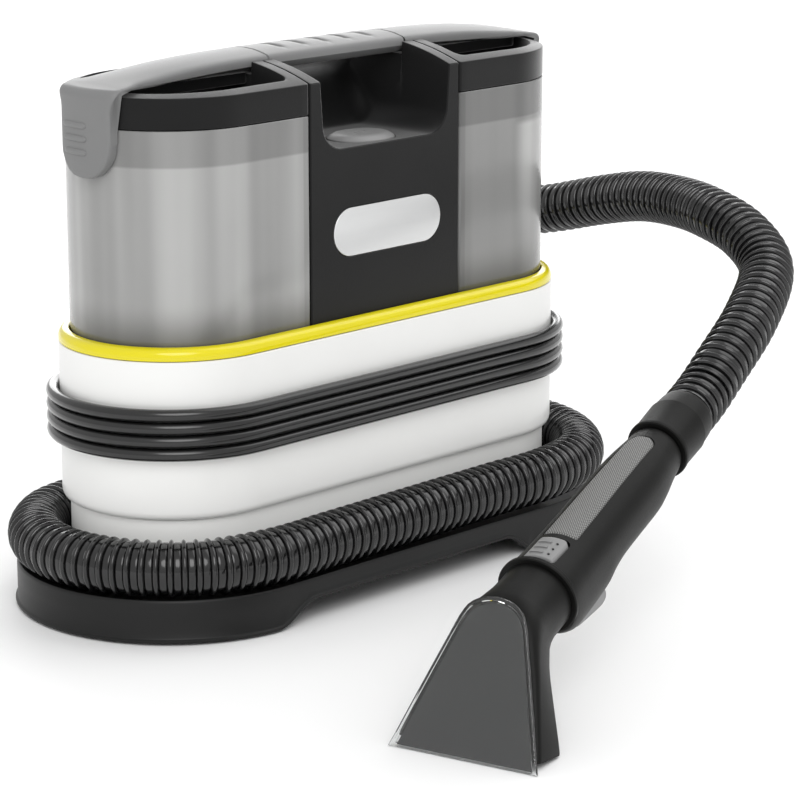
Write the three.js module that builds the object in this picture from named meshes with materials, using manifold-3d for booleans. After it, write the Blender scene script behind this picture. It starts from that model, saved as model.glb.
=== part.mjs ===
// Spot extractor: a compact carpet and upholstery cleaner with a fresh water tank at one end, a dirt
// water tank at the other, a carrying column between them, a hose laid round the foot and a hand tool.
// Millimetres, +Z up, +X from the fresh tank to the dirt tank, -Y to the front, floor at z = 0.
import * as THREE from 'three';
import { mergeVertices } from 'three/addons/utils/BufferGeometryUtils.js';
import Module from 'manifold-3d';

const wasm = await Module();
wasm.setup();

// ---------------------------------------------------------------- driving dimensions
const END_X = 96.4;            // centres of the round ends of every plan outline
const TANK_R = 50.7;           // tanks, lids and column
const BODY_R = 56.6;           // white housing
const PLINTH_R = 52.6;         // grey lower housing
const TRAY_R = 80;             // apron of the base tray
const WALL = 2.5;              // moulded wall
const GAP = 0.4;               // running gap between pieces

const TRAY_LOW_Z = 1;
const TRAY_DECK_Z = 20.4;
const TRAY_RIM_Z = 22;
const ARCH_Z = 11.3;           // lower edge of the long sides between the end feet
const ARCH_FROM = -104;
const ARCH_TO = 80;
const COVER_Z = 2;             // underside of the bottom cover
const PLINTH_TOP_Z = 53.7;
const BODY_TOP_Z = 132.2;
const DECK_TOP_Z = 128.8;
const RING_TOP_Z = 138.4;
const TANK_LOW_Z = 131.6;
const COLLAR_Z = 241;          // seam between a tank and its lid
const EDGE_Z = 256;            // outer top edge of lids and column
const CROWN = 9.5;             // rise of the top from its edge to its middle
const SKIRT_Z = 223.6;         // lower edge of the lid's inner skirt

const SEAM_X = 52.4;           // joint between column and tank
const BAR_HALF = 17.2;         // half width of the carrying bar
const BAR_TOP_Z = 268.8;
const BAR_LOW_Z = 258.6;
const BAR_SEAM_X = 47.6;       // joint between the carrying bar and a tank's bar
const BAR_BED_Z = 258.2;       // what the bars lie on

const LEAD_D = 6.4;
const LEAD_TURNS = 4;
const LEAD_LOW_Z = 84.8;
const HOSE_D = 28;

const TOOL_AT = [-167.3, -257.5, 0];   // front lip of the nozzle's mouth, at its middle
const TOOL_TURN = 13.7;                // degrees about +Z
const WINDOW_TILT = 63.9;              // degrees from the floor to the nozzle's window
const WINDOW_LENGTH = 72;
const MOUTH_HALF = 36.2;
const HANDLE_AT = [68.3, 0, 54.6];     // middle of the handle's front ring, in the tool's own frame
const HANDLE_TILT = 17.6;              // degrees above the floor
const HANDLE_LENGTH = 124.8;
const CUFF_LENGTH = 34;
const CUFF_R = 15.3;

// ---------------------------------------------------------------- materials
const finish = (color, roughness, metalness = 0) =>
  new THREE.MeshStandardMaterial({ color, roughness, metalness });
const CHARCOAL = finish(0x2b2c2d, 0.6);
const BLACK = finish(0x161617, 0.4);
const WHITE = finish(0xe9eae8, 0.4);
const PALE_GREY = finish(0xcfd0cd, 0.5);
const MID_GREY = finish(0x8f9192, 0.45);
const YELLOW = finish(0xf2e300, 0.3);
const SMOKE = finish(0x9b9c9a, 0.2);
const CLEAR = finish(0x6d7072, 0.1);
const RUBBER = finish(0x1d1d1d, 0.9);
const STEEL = finish(0xb9bbbd, 0.3, 1);
const BRASS = finish(0xb08d4a, 0.35, 1);
const BOARD = finish(0x2f6b3c, 0.6);

// ---------------------------------------------------------------- solids
function solidOf(geometry) {
  const bare = geometry.clone();
  bare.deleteAttribute('normal');
  bare.deleteAttribute('uv');
  const merged = mergeVertices(bare, 1e-4);
  const vertProperties = new Float32Array(merged.attributes.position.array);
  const triVerts = new Uint32Array(merged.index.array);
  return new wasm.Manifold(new wasm.Mesh({ numProp: 3, vertProperties, triVerts }));
}

function geometryOf(solid) {
  const mesh = solid.getMesh();
  const geometry = new THREE.BufferGeometry();
  geometry.setAttribute('position', new THREE.BufferAttribute(mesh.vertProperties, 3));
  geometry.setIndex(new THREE.BufferAttribute(mesh.triVerts, 1));
  geometry.computeVertexNormals();
  return geometry;
}

function fold(operation, first, others) {
  return geometryOf(others.reduce((sum, next) => sum[operation](solidOf(next)), solidOf(first)));
}
const cut = (base, ...tools) => fold('subtract', base, tools);
const join = (base, ...others) => fold('add', base, others);
const common = (base, ...others) => fold('intersect', base, others);

/** A flat outline raised from z = low to z = high. */
function slab(shape, low, high, curveSegments = 6) {
  const depth = high - low;
  const geometry = new THREE.ExtrudeGeometry(shape, { depth, bevelEnabled: false, curveSegments });
  return geometry.translate(0, 0, low);
}

/** An outline drawn in x and z, carried along y from near to far. */
function across(shape, near, far, curveSegments = 6) {
  const depth = far - near;
  const geometry = new THREE.ExtrudeGeometry(shape, { depth, bevelEnabled: false, curveSegments });
  return geometry.rotateX(Math.PI / 2).translate(0, far, 0);
}

/** An outline drawn in y and z, carried along x from near to far. */
function along(shape, near, far, curveSegments = 6) {
  const depth = far - near;
  const geometry = new THREE.ExtrudeGeometry(shape, { depth, bevelEnabled: false, curveSegments });
  return geometry.rotateX(Math.PI / 2).rotateZ(Math.PI / 2).translate(near, 0, 0);
}

function box(low, high) {
  const size = high.map((value, i) => value - low[i]);
  const middle = high.map((value, i) => (value + low[i]) / 2);
  return new THREE.BoxGeometry(...size).translate(...middle);
}

/** A round bar or cone between two points. */
function rod(from, to, radius, farRadius = radius, sides = 16) {
  const a = new THREE.Vector3(...from);
  const b = new THREE.Vector3(...to);
  const geometry = new THREE.CylinderGeometry(farRadius, radius, a.distanceTo(b), sides);
  const turn = new THREE.Quaternion().setFromUnitVectors(
    new THREE.Vector3(0, 1, 0), b.clone().sub(a).normalize());
  const middle = a.add(b).multiplyScalar(0.5);
  return geometry.applyQuaternion(turn).translate(middle.x, middle.y, middle.z);
}

function tube(from, to, outer, inner, sides = 20) {
  const a = new THREE.Vector3(...from);
  const b = new THREE.Vector3(...to);
  const over = b.clone().sub(a).normalize();
  const bore = rod(a.clone().sub(over).toArray(), b.clone().add(over).toArray(), inner, inner, sides);
  return cut(rod(from, to, outer, outer, sides), bore);
}

function polygon(points) {
  return new THREE.Shape(points.map(([x, y]) => new THREE.Vector2(x, y)));
}

/** A straight run with a half circle at each end. */
function stadium(radius, half = END_X) {
  const shape = new THREE.Shape();
  shape.moveTo(-half, -radius);
  shape.lineTo(half, -radius);
  shape.absarc(half, 0, radius, -Math.PI / 2, Math.PI / 2);
  shape.lineTo(-half, radius);
  shape.absarc(-half, 0, radius, Math.PI / 2, Math.PI * 1.5);
  return shape;
}

/** The plan of a tank: flat towards the column at x = side * inner, round at the far end. */
function tankPlan(side, inner, radius) {
  const shape = new THREE.Shape();
  const start = side > 0 ? -Math.PI / 2 : Math.PI / 2;
  shape.moveTo(side * inner, -side * radius);
  shape.lineTo(side * END_X, -side * radius);
  shape.absarc(side * END_X, 0, radius, start, start + Math.PI);
  shape.lineTo(side * inner, side * radius);
  return shape;
}

function roundedRect(width, height, radius, x = 0, y = 0) {
  const shape = new THREE.Shape();
  const w = width / 2 - radius;
  const h = height / 2 - radius;
  shape.absarc(x + w, y + h, radius, 0, Math.PI / 2);
  shape.absarc(x - w, y + h, radius, Math.PI / 2, Math.PI);
  shape.absarc(x - w, y - h, radius, Math.PI, Math.PI * 1.5);
  shape.absarc(x + w, y - h, radius, Math.PI * 1.5, Math.PI * 2);
  return shape;
}

function ellipse(halfX, halfY, x = 0, y = 0) {
  const shape = new THREE.Shape();
  shape.absellipse(x, y, halfX, halfY, 0, Math.PI * 2);
  return shape;
}

/** A closed section of [radius, z] points carried round the stadium. */
function hoop(section, arcSteps = 12) {
  const positions = [];
  const index = [];
  const stations = [];
  for (const side of [1, -1]) {
    for (let i = 0; i <= arcSteps; i += 1) {
      const angle = (side > 0 ? -Math.PI / 2 : Math.PI / 2) + (Math.PI * i) / arcSteps;
      stations.push([side * END_X, Math.cos(angle), Math.sin(angle)]);
    }
  }
  for (const [centre, cos, sin] of stations) {
    for (const [radius, z] of section) positions.push(centre + radius * cos, radius * sin, z);
  }
  const n = section.length;
  for (let i = 0; i < stations.length; i += 1) {
    const next = (i + 1) % stations.length;
    for (let j = 0; j < n; j += 1) {
      const k = (j + 1) % n;
      index.push(i * n + j, next * n + j, next * n + k, i * n + j, next * n + k, i * n + k);
    }
  }
  const geometry = new THREE.BufferGeometry();
  geometry.setAttribute('position', new THREE.Float32BufferAttribute(positions, 3));
  geometry.setIndex(index);
  return geometry;
}

/** A body through a row of closed loops with the same number of points. */
function loft(loops) {
  const positions = [];
  const index = [];
  const n = loops[0].length;
  for (const loop of loops) for (const point of loop) positions.push(...point);
  for (const loop of [loops[0], loops[loops.length - 1]]) {
    for (const axis of [0, 1, 2]) positions.push(loop.reduce((sum, point) => sum + point[axis], 0) / n);
  }
  const first = loops.length * n;
  for (let i = 0; i + 1 < loops.length; i += 1) {
    for (let j = 0; j < n; j += 1) {
      const k = (j + 1) % n;
      const a = i * n;
      const b = a + n;
      index.push(a + j, a + k, b + k, a + j, b + k, b + j);
    }
  }
  for (let j = 0; j < n; j += 1) {
    const k = (j + 1) % n;
    const last = (loops.length - 1) * n;
    index.push(first, k, j, first + 1, last + j, last + k);
  }
  const geometry = new THREE.BufferGeometry();
  geometry.setAttribute('position', new THREE.Float32BufferAttribute(positions, 3));
  geometry.setIndex(index);
  return geometry;
}

/** A tube along a smooth line through points. */
function cord(points, diameter, steps, sides) {
  const line = new THREE.CatmullRomCurve3(points.map((point) => new THREE.Vector3(...point)));
  const section = new THREE.Shape();
  section.absarc(0, 0, diameter / 2, 0, Math.PI * 2);
  return new THREE.ExtrudeGeometry(section, { steps, extrudePath: line, curveSegments: sides / 2 });
}

const object = new THREE.Group();

function add(name, geometry, material, parent = object) {
  const mesh = new THREE.Mesh(geometry, material);
  mesh.name = name;
  parent.add(mesh);
  return mesh;
}

// ---------------------------------------------------------------- base
function archShape(height) {
  const shape = new THREE.Shape();
  const foot = 26;
  shape.moveTo(ARCH_FROM, -2);
  shape.bezierCurveTo(ARCH_FROM + foot / 2, -2, ARCH_FROM + foot / 3, height, ARCH_FROM + foot, height);
  shape.lineTo(ARCH_TO - foot, height);
  shape.bezierCurveTo(ARCH_TO - foot / 3, height, ARCH_TO - foot / 2, -2, ARCH_TO, -2);
  return shape;
}

const tray = join(
  hoop([
    [TRAY_R, TRAY_LOW_Z], [TRAY_R, TRAY_RIM_Z],
    [TRAY_R - WALL, TRAY_RIM_Z], [TRAY_R - WALL, TRAY_LOW_Z],
  ]),
  hoop([[TRAY_R + 1.2, TRAY_LOW_Z], [TRAY_R + 1.2, TRAY_LOW_Z + 1.6], [TRAY_R - 1, TRAY_LOW_Z + 2.2],
    [TRAY_R - 1, TRAY_LOW_Z]]),
  hoop([[TRAY_R - 1, TRAY_DECK_Z - WALL], [TRAY_R - 1, TRAY_DECK_Z], [43, TRAY_DECK_Z],
    [43, TRAY_DECK_Z - WALL]]));
const footPosts = [[-150, -38], [-150, 38], [150, -38], [150, 38]].map(([x, y]) =>
  rod([x, y, 3.4], [x, y, TRAY_DECK_Z - 1], 8, 8, 12));
const lipUnderArch = hoop([
  [TRAY_R + 3, 0], [TRAY_R + 3, ARCH_Z], [TRAY_R - WALL - 1, ARCH_Z], [TRAY_R - WALL - 1, 0],
]);
const archCut = common(lipUnderArch, across(archShape(ARCH_Z), -100, 100));
add('base_tray', join(cut(tray, archCut), ...footPosts), BLACK);

const footNames = ['foot_front_left', 'foot_back_left', 'foot_front_right', 'foot_back_right'];
footNames.forEach((name, i) => {
  const x = i < 2 ? -150 : 150;
  const y = i % 2 ? 38 : -38;
  add(name, rod([x, y, 0], [x, y, 3.1], 7, 7.6, 16), RUBBER);
});

const coverTop = TRAY_DECK_Z - WALL - GAP;
add('bottom_cover', join(
  slab(stadium(46, END_X), COVER_Z, COVER_Z + WALL),
  hoop([[46, COVER_Z], [46, coverTop], [46 - WALL, coverTop], [46 - WALL, COVER_Z]])), BLACK);

// ---------------------------------------------------------------- housings
const plinthFloor = slab(stadium(PLINTH_R - 1), TRAY_DECK_Z + GAP, TRAY_DECK_Z + GAP + WALL);
add('lower_housing', join(
  hoop([[PLINTH_R, TRAY_DECK_Z + GAP], [PLINTH_R, PLINTH_TOP_Z], [PLINTH_R - WALL, PLINTH_TOP_Z],
    [PLINTH_R - WALL, TRAY_DECK_Z + GAP]]),
  cut(plinthFloor, slab(roundedRect(150, 46, 10), TRAY_DECK_Z - 1, TRAY_DECK_Z + 5))), PALE_GREY);

const bodyWall = hoop([[BODY_R - 3, 54], [BODY_R, 58], [BODY_R, BODY_TOP_Z], [BODY_R - WALL, BODY_TOP_Z],
  [BODY_R - WALL, 125.6], [BODY_R - WALL - 2.4, 125.6], [BODY_R - WALL - 2.4, 123.2], [BODY_R - WALL, 121],
  [BODY_R - WALL, 56.6], [48, 56.6], [48, 54]]);
const vents = [];
for (let i = 0; i < 8; i += 1) {
  const x = -84 + i * 6;
  vents.push(box([x, 40, 62], [x + 2.6, 70, 80]));
}
add('main_housing', cut(bodyWall, ...vents), WHITE);

add('trim_ring', hoop([[BODY_R, BODY_TOP_Z + GAP], [BODY_R - 0.4, 136], [BODY_R - 2.6, RING_TOP_Z],
  [TANK_R + 0.5, RING_TOP_Z], [TANK_R + 0.5, 131.2],
  [BODY_R - WALL - GAP, 131.2], [BODY_R - WALL - GAP, BODY_TOP_Z + GAP]]),
YELLOW);

const deckPlate = slab(stadium(BODY_R - WALL - GAP), 126, DECK_TOP_Z);
const FRESH_PORT = [-76, 0];
const DIRT_PORT = [112, 0];
add('tank_deck', cut(deckPlate,
  rod([...FRESH_PORT, 120], [...FRESH_PORT, 135], 9),
  rod([...DIRT_PORT, 120], [...DIRT_PORT, 135], 12),
  slab(roundedRect(40, 60, 6), 120, 135)), BLACK);

// ---------------------------------------------------------------- column
/** Everything below the crowned top that lids and column share. */
function underCrown(lift = 0) {
  const positions = [];
  const index = [];
  const nx = 36;
  const ny = 12;
  const reachX = 160;
  const reachY = 60;
  const low = 100;
  for (let i = 0; i <= nx; i += 1) {
    for (let j = 0; j <= ny; j += 1) {
      const x = -reachX + (2 * reachX * i) / nx;
      const y = -reachY + (2 * reachY * j) / ny;
      const off = Math.hypot(Math.max(0, Math.abs(x) - END_X), y) / TANK_R;
      const fall = 1 - 0.45 * Math.max(0, (Math.abs(x) - 60) / 87) ** 1.5;
      positions.push(x, y, EDGE_Z + lift + CROWN * fall * (1 - off * off));
      positions.push(x, y, low);
    }
  }
  const at = (i, j, under) => 2 * (i * (ny + 1) + j) + under;
  for (let i = 0; i < nx; i += 1) {
    for (let j = 0; j < ny; j += 1) {
      index.push(at(i, j, 0), at(i + 1, j, 0), at(i + 1, j + 1, 0));
      index.push(at(i, j, 0), at(i + 1, j + 1, 0), at(i, j + 1, 0));
      index.push(at(i, j, 1), at(i + 1, j + 1, 1), at(i + 1, j, 1));
      index.push(at(i, j, 1), at(i, j + 1, 1), at(i + 1, j + 1, 1));
    }
    index.push(at(i, 0, 0), at(i, 0, 1), at(i + 1, 0, 1), at(i, 0, 0), at(i + 1, 0, 1), at(i + 1, 0, 0));
    index.push(at(i, ny, 0), at(i + 1, ny, 1), at(i, ny, 1));
    index.push(at(i, ny, 0), at(i + 1, ny, 0), at(i + 1, ny, 1));
  }
  for (let j = 0; j < ny; j += 1) {
    index.push(at(0, j, 0), at(0, j + 1, 1), at(0, j, 1), at(0, j, 0), at(0, j + 1, 0), at(0, j + 1, 1));
    index.push(at(nx, j, 0), at(nx, j, 1), at(nx, j + 1, 1));
    index.push(at(nx, j, 0), at(nx, j + 1, 1), at(nx, j + 1, 0));
  }
  const geometry = new THREE.BufferGeometry();
  geometry.setAttribute('position', new THREE.Float32BufferAttribute(positions, 3));
  geometry.setIndex(index);
  return geometry;
}

const RECESS_HALF = 45;
const RECESS_LIP_Z = 222.5;
const RECESS_FLOOR_Z = 220;
const RECESS_BACK_Y = 36;

function recessShape(low) {
  const shape = new THREE.Shape();
  const corner = 13;
  shape.moveTo(RECESS_HALF, 290);
  shape.lineTo(-RECESS_HALF, 290);
  shape.lineTo(-RECESS_HALF + 1.5, low + corner);
  shape.quadraticCurveTo(-RECESS_HALF + 2, low, -RECESS_HALF + corner + 2, low);
  shape.lineTo(RECESS_HALF - corner - 2, low);
  shape.quadraticCurveTo(RECESS_HALF - 2, low, RECESS_HALF - 1.5, low + corner);
  return shape;
}

const recess = join(
  across(recessShape(RECESS_LIP_Z), -70, RECESS_BACK_Y),
  cut(across(recessShape(RECESS_FLOOR_Z), -48, RECESS_BACK_Y),
    along(polygon([
      [-8, 210], [RECESS_BACK_Y + 2, 210], [RECESS_BACK_Y + 2, 250], [24, 243], [8, 231],
    ]), -60, 60)));
const recessSlope = along(polygon([[-8, 221], [8, 231], [24, 243], [40, 251], [40, 221]]), -60, 60);
const handRecess = cut(recess, recessSlope);

const barNotch = box([-60, -BAR_HALF - GAP, BAR_BED_Z], [60, BAR_HALF + GAP, 300]);
const buttonWell = slab(ellipse(18.6, 15.1, 0, -32.6), 205, 230, 10);

function columnHalf(nearY, farY, cavity, ...more) {
  const block = common(box([-SEAM_X + 0.3, nearY, 131.2], [SEAM_X - 0.3, farY, 300]), underCrown());
  return cut(block, cavity, handRecess, barNotch, ...more);
}

const badgePocket = across(roundedRect(76.3, 25, 12.45, 0.9, 180.6), -60, -TANK_R + 0.9);
add('column_front', columnHalf(-TANK_R, -0.2,
  box([-SEAM_X + 3.3, -TANK_R + 3, 120], [SEAM_X - 3.3, 1, 212]), buttonWell, badgePocket), CHARCOAL);
add('column_back', columnHalf(0.2, TANK_R,
  box([-SEAM_X + 3.3, -1, 120], [SEAM_X - 3.3, TANK_R - 3, 216])), CHARCOAL);

add('badge_plate', across(roundedRect(75.3, 24, 11.95, 0.9, 180.6), -TANK_R - 0.2, -TANK_R + 0.6), STEEL);

const button = join(
  slab(ellipse(18.1, 14.6, 0, -32.6), 216.6, 224.4, 10),
  rod([0, -32.6, 208], [0, -32.6, 217], 3, 3, 12));
add('power_button', button, MID_GREY);
add('button_spring', tube([0, -32.6, 205.4], [0, -32.6, 216.2], 5.4, 4.2, 14), STEEL);
add('power_switch', box([-9, -47.3, 188], [9, -24, 205]), BLACK);

// ---------------------------------------------------------------- carrying bar
/** Half outline of the bar's section, from its low edge over the top: [y, height below the crown]. */
const BAR_SECTION = [[BAR_HALF, -6.2], [16.6, -4.2], [14.6, -2.3], [10, -0.9], [0, 0]];
const BAR_SHOULDER = 6.2;
const barFall = (x) => Math.min(9.3, 9 * (Math.abs(x) / 147) ** 4);

/** The bar's section at x; it grows thin towards the ends, where it lies on the lid. */
function barLoop(x) {
  const top = BAR_TOP_Z - barFall(x);
  const squeeze = Math.min(1, (top - BAR_LOW_Z - GAP) / BAR_SHOULDER);
  const right = BAR_SECTION.map(([y, z]) => [x, y, top + z * squeeze]);
  const left = BAR_SECTION.slice(0, -1).reverse().map(([y, z]) => [x, -y, top + z * squeeze]);
  return [[x, -13, BAR_LOW_Z], [x, 13, BAR_LOW_Z], ...right, ...left];
}

const grooves = [];
for (let i = 0; i < 5; i += 1) {
  const x = -30.4 + 15.2 * i;
  grooves.push(rod([x, -14, BAR_TOP_Z + 1.1], [x, 14, BAR_TOP_Z + 1.1], 1.9, 1.9, 10));
}
const barEnd = BAR_SEAM_X - GAP / 2;
add('carry_handle', cut(loft([-barEnd, -24, 0, 24, barEnd].map(barLoop)), ...grooves), MID_GREY);

// ---------------------------------------------------------------- tanks
function tankShell(side, port, portR) {
  const outer = slab(tankPlan(side, SEAM_X + 0.3, TANK_R), TANK_LOW_Z, COLLAR_Z - 0.2);
  const inner = slab(tankPlan(side, SEAM_X + 0.3 + 2, TANK_R - 2), TANK_LOW_Z + 2.4, 300);
  return cut(outer, inner, rod([...port, 120], [...port, 140], portR));
}

function lid(side) {
  const body = common(slab(tankPlan(side, SEAM_X + 0.3, TANK_R), COLLAR_Z + 0.2, 300), underCrown());
  const skirt = slab(tankPlan(side, SEAM_X + 0.3 + 2.4, TANK_R - 2.4), SKIRT_Z, COLLAR_Z + 1);
  const pocket = slab(tankPlan(side, 60, TANK_R - 6), SKIRT_Z + WALL, 300);
  const under = slab(tankPlan(side, SEAM_X + 4.9, TANK_R - 4.9), SKIRT_Z - 1, SKIRT_Z + WALL - 2);
  const near = side > 0 ? 50 : -170;
  const barBed = box([near, -BAR_HALF - GAP, BAR_BED_Z], [near + 120, BAR_HALF + GAP, 300]);
  return cut(join(body, skirt), pocket, under, barBed);
}

/** A tank's handle: a bar over the lid's finger pocket, with a latch tab that hooks over the end. */
function tankHandle(side) {
  const stations = [BAR_SEAM_X + GAP / 2, 66, 84, 102, 118, 132, 142, 151];
  const loops = stations.map((x) => barLoop(side * x));
  const bar = loft(side > 0 ? loops : loops.reverse());
  const wrap = slab(tankPlan(side, 90, TANK_R + 5.6), 210, 259.3);
  const clear = slab(tankPlan(side, 80, TANK_R + 0.7), 200, BAR_LOW_Z);
  const face = new THREE.Shape();
  face.moveTo(-17.2, 260);
  face.lineTo(-16.6, 236);
  face.bezierCurveTo(-15.5, 222, -8, 217, 0, 217);
  face.bezierCurveTo(8, 217, 15.5, 222, 16.6, 236);
  face.lineTo(17.2, 260);
  const low = side > 0 ? 130 : -170;
  return join(bar, cut(common(wrap, along(face, low, low + 40)), clear));
}

function tankEnd(side, word, port, portR, ...onLid) {
  add(`${word}_tank`, tankShell(side, port, portR), SMOKE);
  add(`${word}_lid`, onLid.length ? join(lid(side), ...onLid) : lid(side), CHARCOAL);
  add(`${word}_handle`, tankHandle(side), MID_GREY);
}

tankEnd(-1, 'fresh', FRESH_PORT, 4.2);
const valveFloor = TANK_LOW_Z + 2.4 + GAP;
add('fresh_valve', join(
  rod([...FRESH_PORT, 129.2], [...FRESH_PORT, valveFloor + 1], 3.6),
  rod([...FRESH_PORT, valveFloor], [...FRESH_PORT, valveFloor + 2.4], 8, 8, 20)), BLACK);

const FLOAT_AT = [76, 24];
const FLOAT_STOP_Z = 172;
tankEnd(1, 'dirt', DIRT_PORT, 11,
  rod([...FLOAT_AT, FLOAT_STOP_Z], [...FLOAT_AT, SKIRT_Z + 1], 2.8, 2.8, 12),
  rod([...FLOAT_AT, FLOAT_STOP_Z], [...FLOAT_AT, FLOAT_STOP_Z + 2.6], 5.6, 5.6, 12));
add('dirt_float', tube([...FLOAT_AT, FLOAT_STOP_Z + 3], [...FLOAT_AT, FLOAT_STOP_Z + 25], 10, 3.3, 16),
  WHITE);
const duct = (grow, low, high) =>
  slab(roundedRect(30 + 2 * grow, 26 + 2 * grow, 7 + grow, ...DIRT_PORT), low, high, 4);
add('dirt_inlet_duct', cut(duct(0, TANK_LOW_Z + 2.4 + GAP, 221), duct(-2, 120, 240)), PALE_GREY);

// ---------------------------------------------------------------- inside the housings
const MOTOR_X = 40;
add('motor_mount', tube([MOTOR_X, 0, 24.2], [MOTOR_X, 0, 55], 30, 24, 20), RUBBER);
add('suction_motor', join(
  rod([MOTOR_X, 0, 55.4], [MOTOR_X, 0, 96], 30, 30, 24),
  rod([MOTOR_X, 0, 96], [MOTOR_X, 0, 98], 8, 8, 12)), STEEL);
const fanDisc = rod([MOTOR_X, 0, 101], [MOTOR_X, 0, 103], 34, 34, 24);
const fanHub = rod([MOTOR_X, 0, 98.4], [MOTOR_X, 0, 108], 6, 6, 12);
const blades = [];
for (let i = 0; i < 8; i += 1) {
  const blade = box([4, -0.8, 102], [33, 0.8, 109]).rotateZ((i * Math.PI) / 4);
  blades.push(blade.translate(MOTOR_X, 0, 0));
}
add('fan', join(fanDisc, fanHub, ...blades), BLACK);
add('fan_cover', cut(
  rod([MOTOR_X, 0, 98.4], [MOTOR_X, 0, 114], 38.5, 38.5, 24),
  rod([MOTOR_X, 0, 90], [MOTOR_X, 0, 111.6], 36.5, 36.5, 24),
  rod([MOTOR_X, 0, 100], [MOTOR_X, 0, 120], 14)), BLACK);
add('pump', join(
  box([-84, -18, 24.4], [-40, 18, 62]),
  rod([-62, 0, 60], [-62, 0, 84], 15, 15, 20)), BLACK);
add('valve_socket', tube([...FRESH_PORT, 110], [...FRESH_PORT, 128.6], 8.4, 4.4, 16), BLACK);
add('inlet_pipe', tube([...DIRT_PORT, 23.8], [...DIRT_PORT, 128.6], 11.4, 9.4, 16), BLACK);
add('circuit_board', box([-32, 20, 150], [32, 21.6, 200]), BOARD);

// ---------------------------------------------------------------- mains lead
const LEAD_R = LEAD_D / 2;
const COIL_IN = BODY_R + 0.3;
const COIL_OUT = BODY_R + 0.4 + LEAD_D;
const COIL_TOP = LEAD_LOW_Z + LEAD_TURNS * LEAD_D;
const GLAND_Z = 114.1;
const TAIL_Y = 71.2;
const TAIL_Z = LEAD_LOW_Z + LEAD_R;
const COIL_MIDDLE_R = (COIL_IN + COIL_OUT) / 2;
add('lead_coil', hoop([
  [COIL_IN, LEAD_LOW_Z], [COIL_OUT, LEAD_LOW_Z], [COIL_OUT, COIL_TOP], [COIL_IN, COIL_TOP]]),
  RUBBER);
const gland = join(
  rod([10, COIL_MIDDLE_R, GLAND_Z + 1], [-26, COIL_MIDDLE_R, GLAND_Z], 6, 4.1, 14),
  box([0, 50, GLAND_Z - 3], [12, COIL_MIDDLE_R, GLAND_Z + 7]));
const glandLimits = [slab(stadium(BODY_R + 0.3), 80, 140), box([-60, 40, 80], [40, 80, COIL_TOP + 0.3])];
add('lead_gland', cut(gland, ...glandLimits), RUBBER);
add('lead_start', rod([-26.4, COIL_MIDDLE_R, GLAND_Z], [-58, COIL_MIDDLE_R, GLAND_Z], LEAD_R, LEAD_R, 10),
  RUBBER);
add('lead_end', rod([46, TAIL_Y, TAIL_Z], [-4, TAIL_Y, TAIL_Z], LEAD_R, LEAD_R, 10), RUBBER);
const clipStrap = [[63.6, 84], [66, 84], [66, 112.4], [57.4, 112.4], [57.4, 110.9], [63.6, 110.9]];
add('lead_clip', cut(
  join(along(polygon(clipStrap), 18, 30),
    rod([18, TAIL_Y, TAIL_Z], [30, TAIL_Y, TAIL_Z], 6.4, 6.4, 16)),
  rod([10, TAIL_Y, TAIL_Z], [40, TAIL_Y, TAIL_Z], LEAD_R + 0.3, LEAD_R + 0.3, 14),
  box([10, 57, 80], [40, COIL_OUT + 0.3, 110.6])), BLACK);
const plugFace = new THREE.Shape();
plugFace.moveTo(-10, TAIL_Z - 5);
plugFace.lineTo(-22, TAIL_Z - 15);
plugFace.lineTo(-48, TAIL_Z - 17);
plugFace.quadraticCurveTo(-52, TAIL_Z, -48, TAIL_Z + 17);
plugFace.lineTo(-22, TAIL_Z + 15);
plugFace.lineTo(-10, TAIL_Z + 5);
const plugPin = (z) => rod([-46, TAIL_Y, z], [-69, TAIL_Y, z], 2.2, 2.2, 10);
add('mains_plug', join(
  across(plugFace, TAIL_Y - 7.3, TAIL_Y + 7.3),
  rod([-4.4, TAIL_Y, TAIL_Z], [-12, TAIL_Y, TAIL_Z], 4.2, 5, 12),
  plugPin(TAIL_Z - 9.5), plugPin(TAIL_Z + 9.5)), BLACK);

// ---------------------------------------------------------------- hose
const SOCKET_Y = 71;
const SOCKET_Z = 41;
const SOCKET_FROM = 22;
const SOCKET_END = 48;
add('hose_socket', cut(
  join(rod([SOCKET_FROM, SOCKET_Y, SOCKET_Z], [SOCKET_END, SOCKET_Y, SOCKET_Z], 17, 15.6, 20),
    box([SOCKET_FROM + 2, PLINTH_R + 0.3, 30], [SOCKET_END - 4, SOCKET_Y, 51])),
  rod([SOCKET_FROM + 3, SOCKET_Y, SOCKET_Z], [SOCKET_END + 3, SOCKET_Y, SOCKET_Z], 12, 12, 20)), BLACK);

/** Points on a round end of the hose's lap, anticlockwise from one angle to another, in degrees. */
function lapEnd(side, radius, from, to, fromZ, toZ) {
  const points = [];
  const steps = 6;
  for (let i = 0; i <= steps; i += 1) {
    const angle = THREE.MathUtils.degToRad(from + ((to - from) * i) / steps);
    const z = fromZ + ((toZ - fromZ) * i) / steps;
    points.push([side * END_X + radius * Math.cos(angle), radius * Math.sin(angle), z]);
  }
  return points;
}

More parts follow.
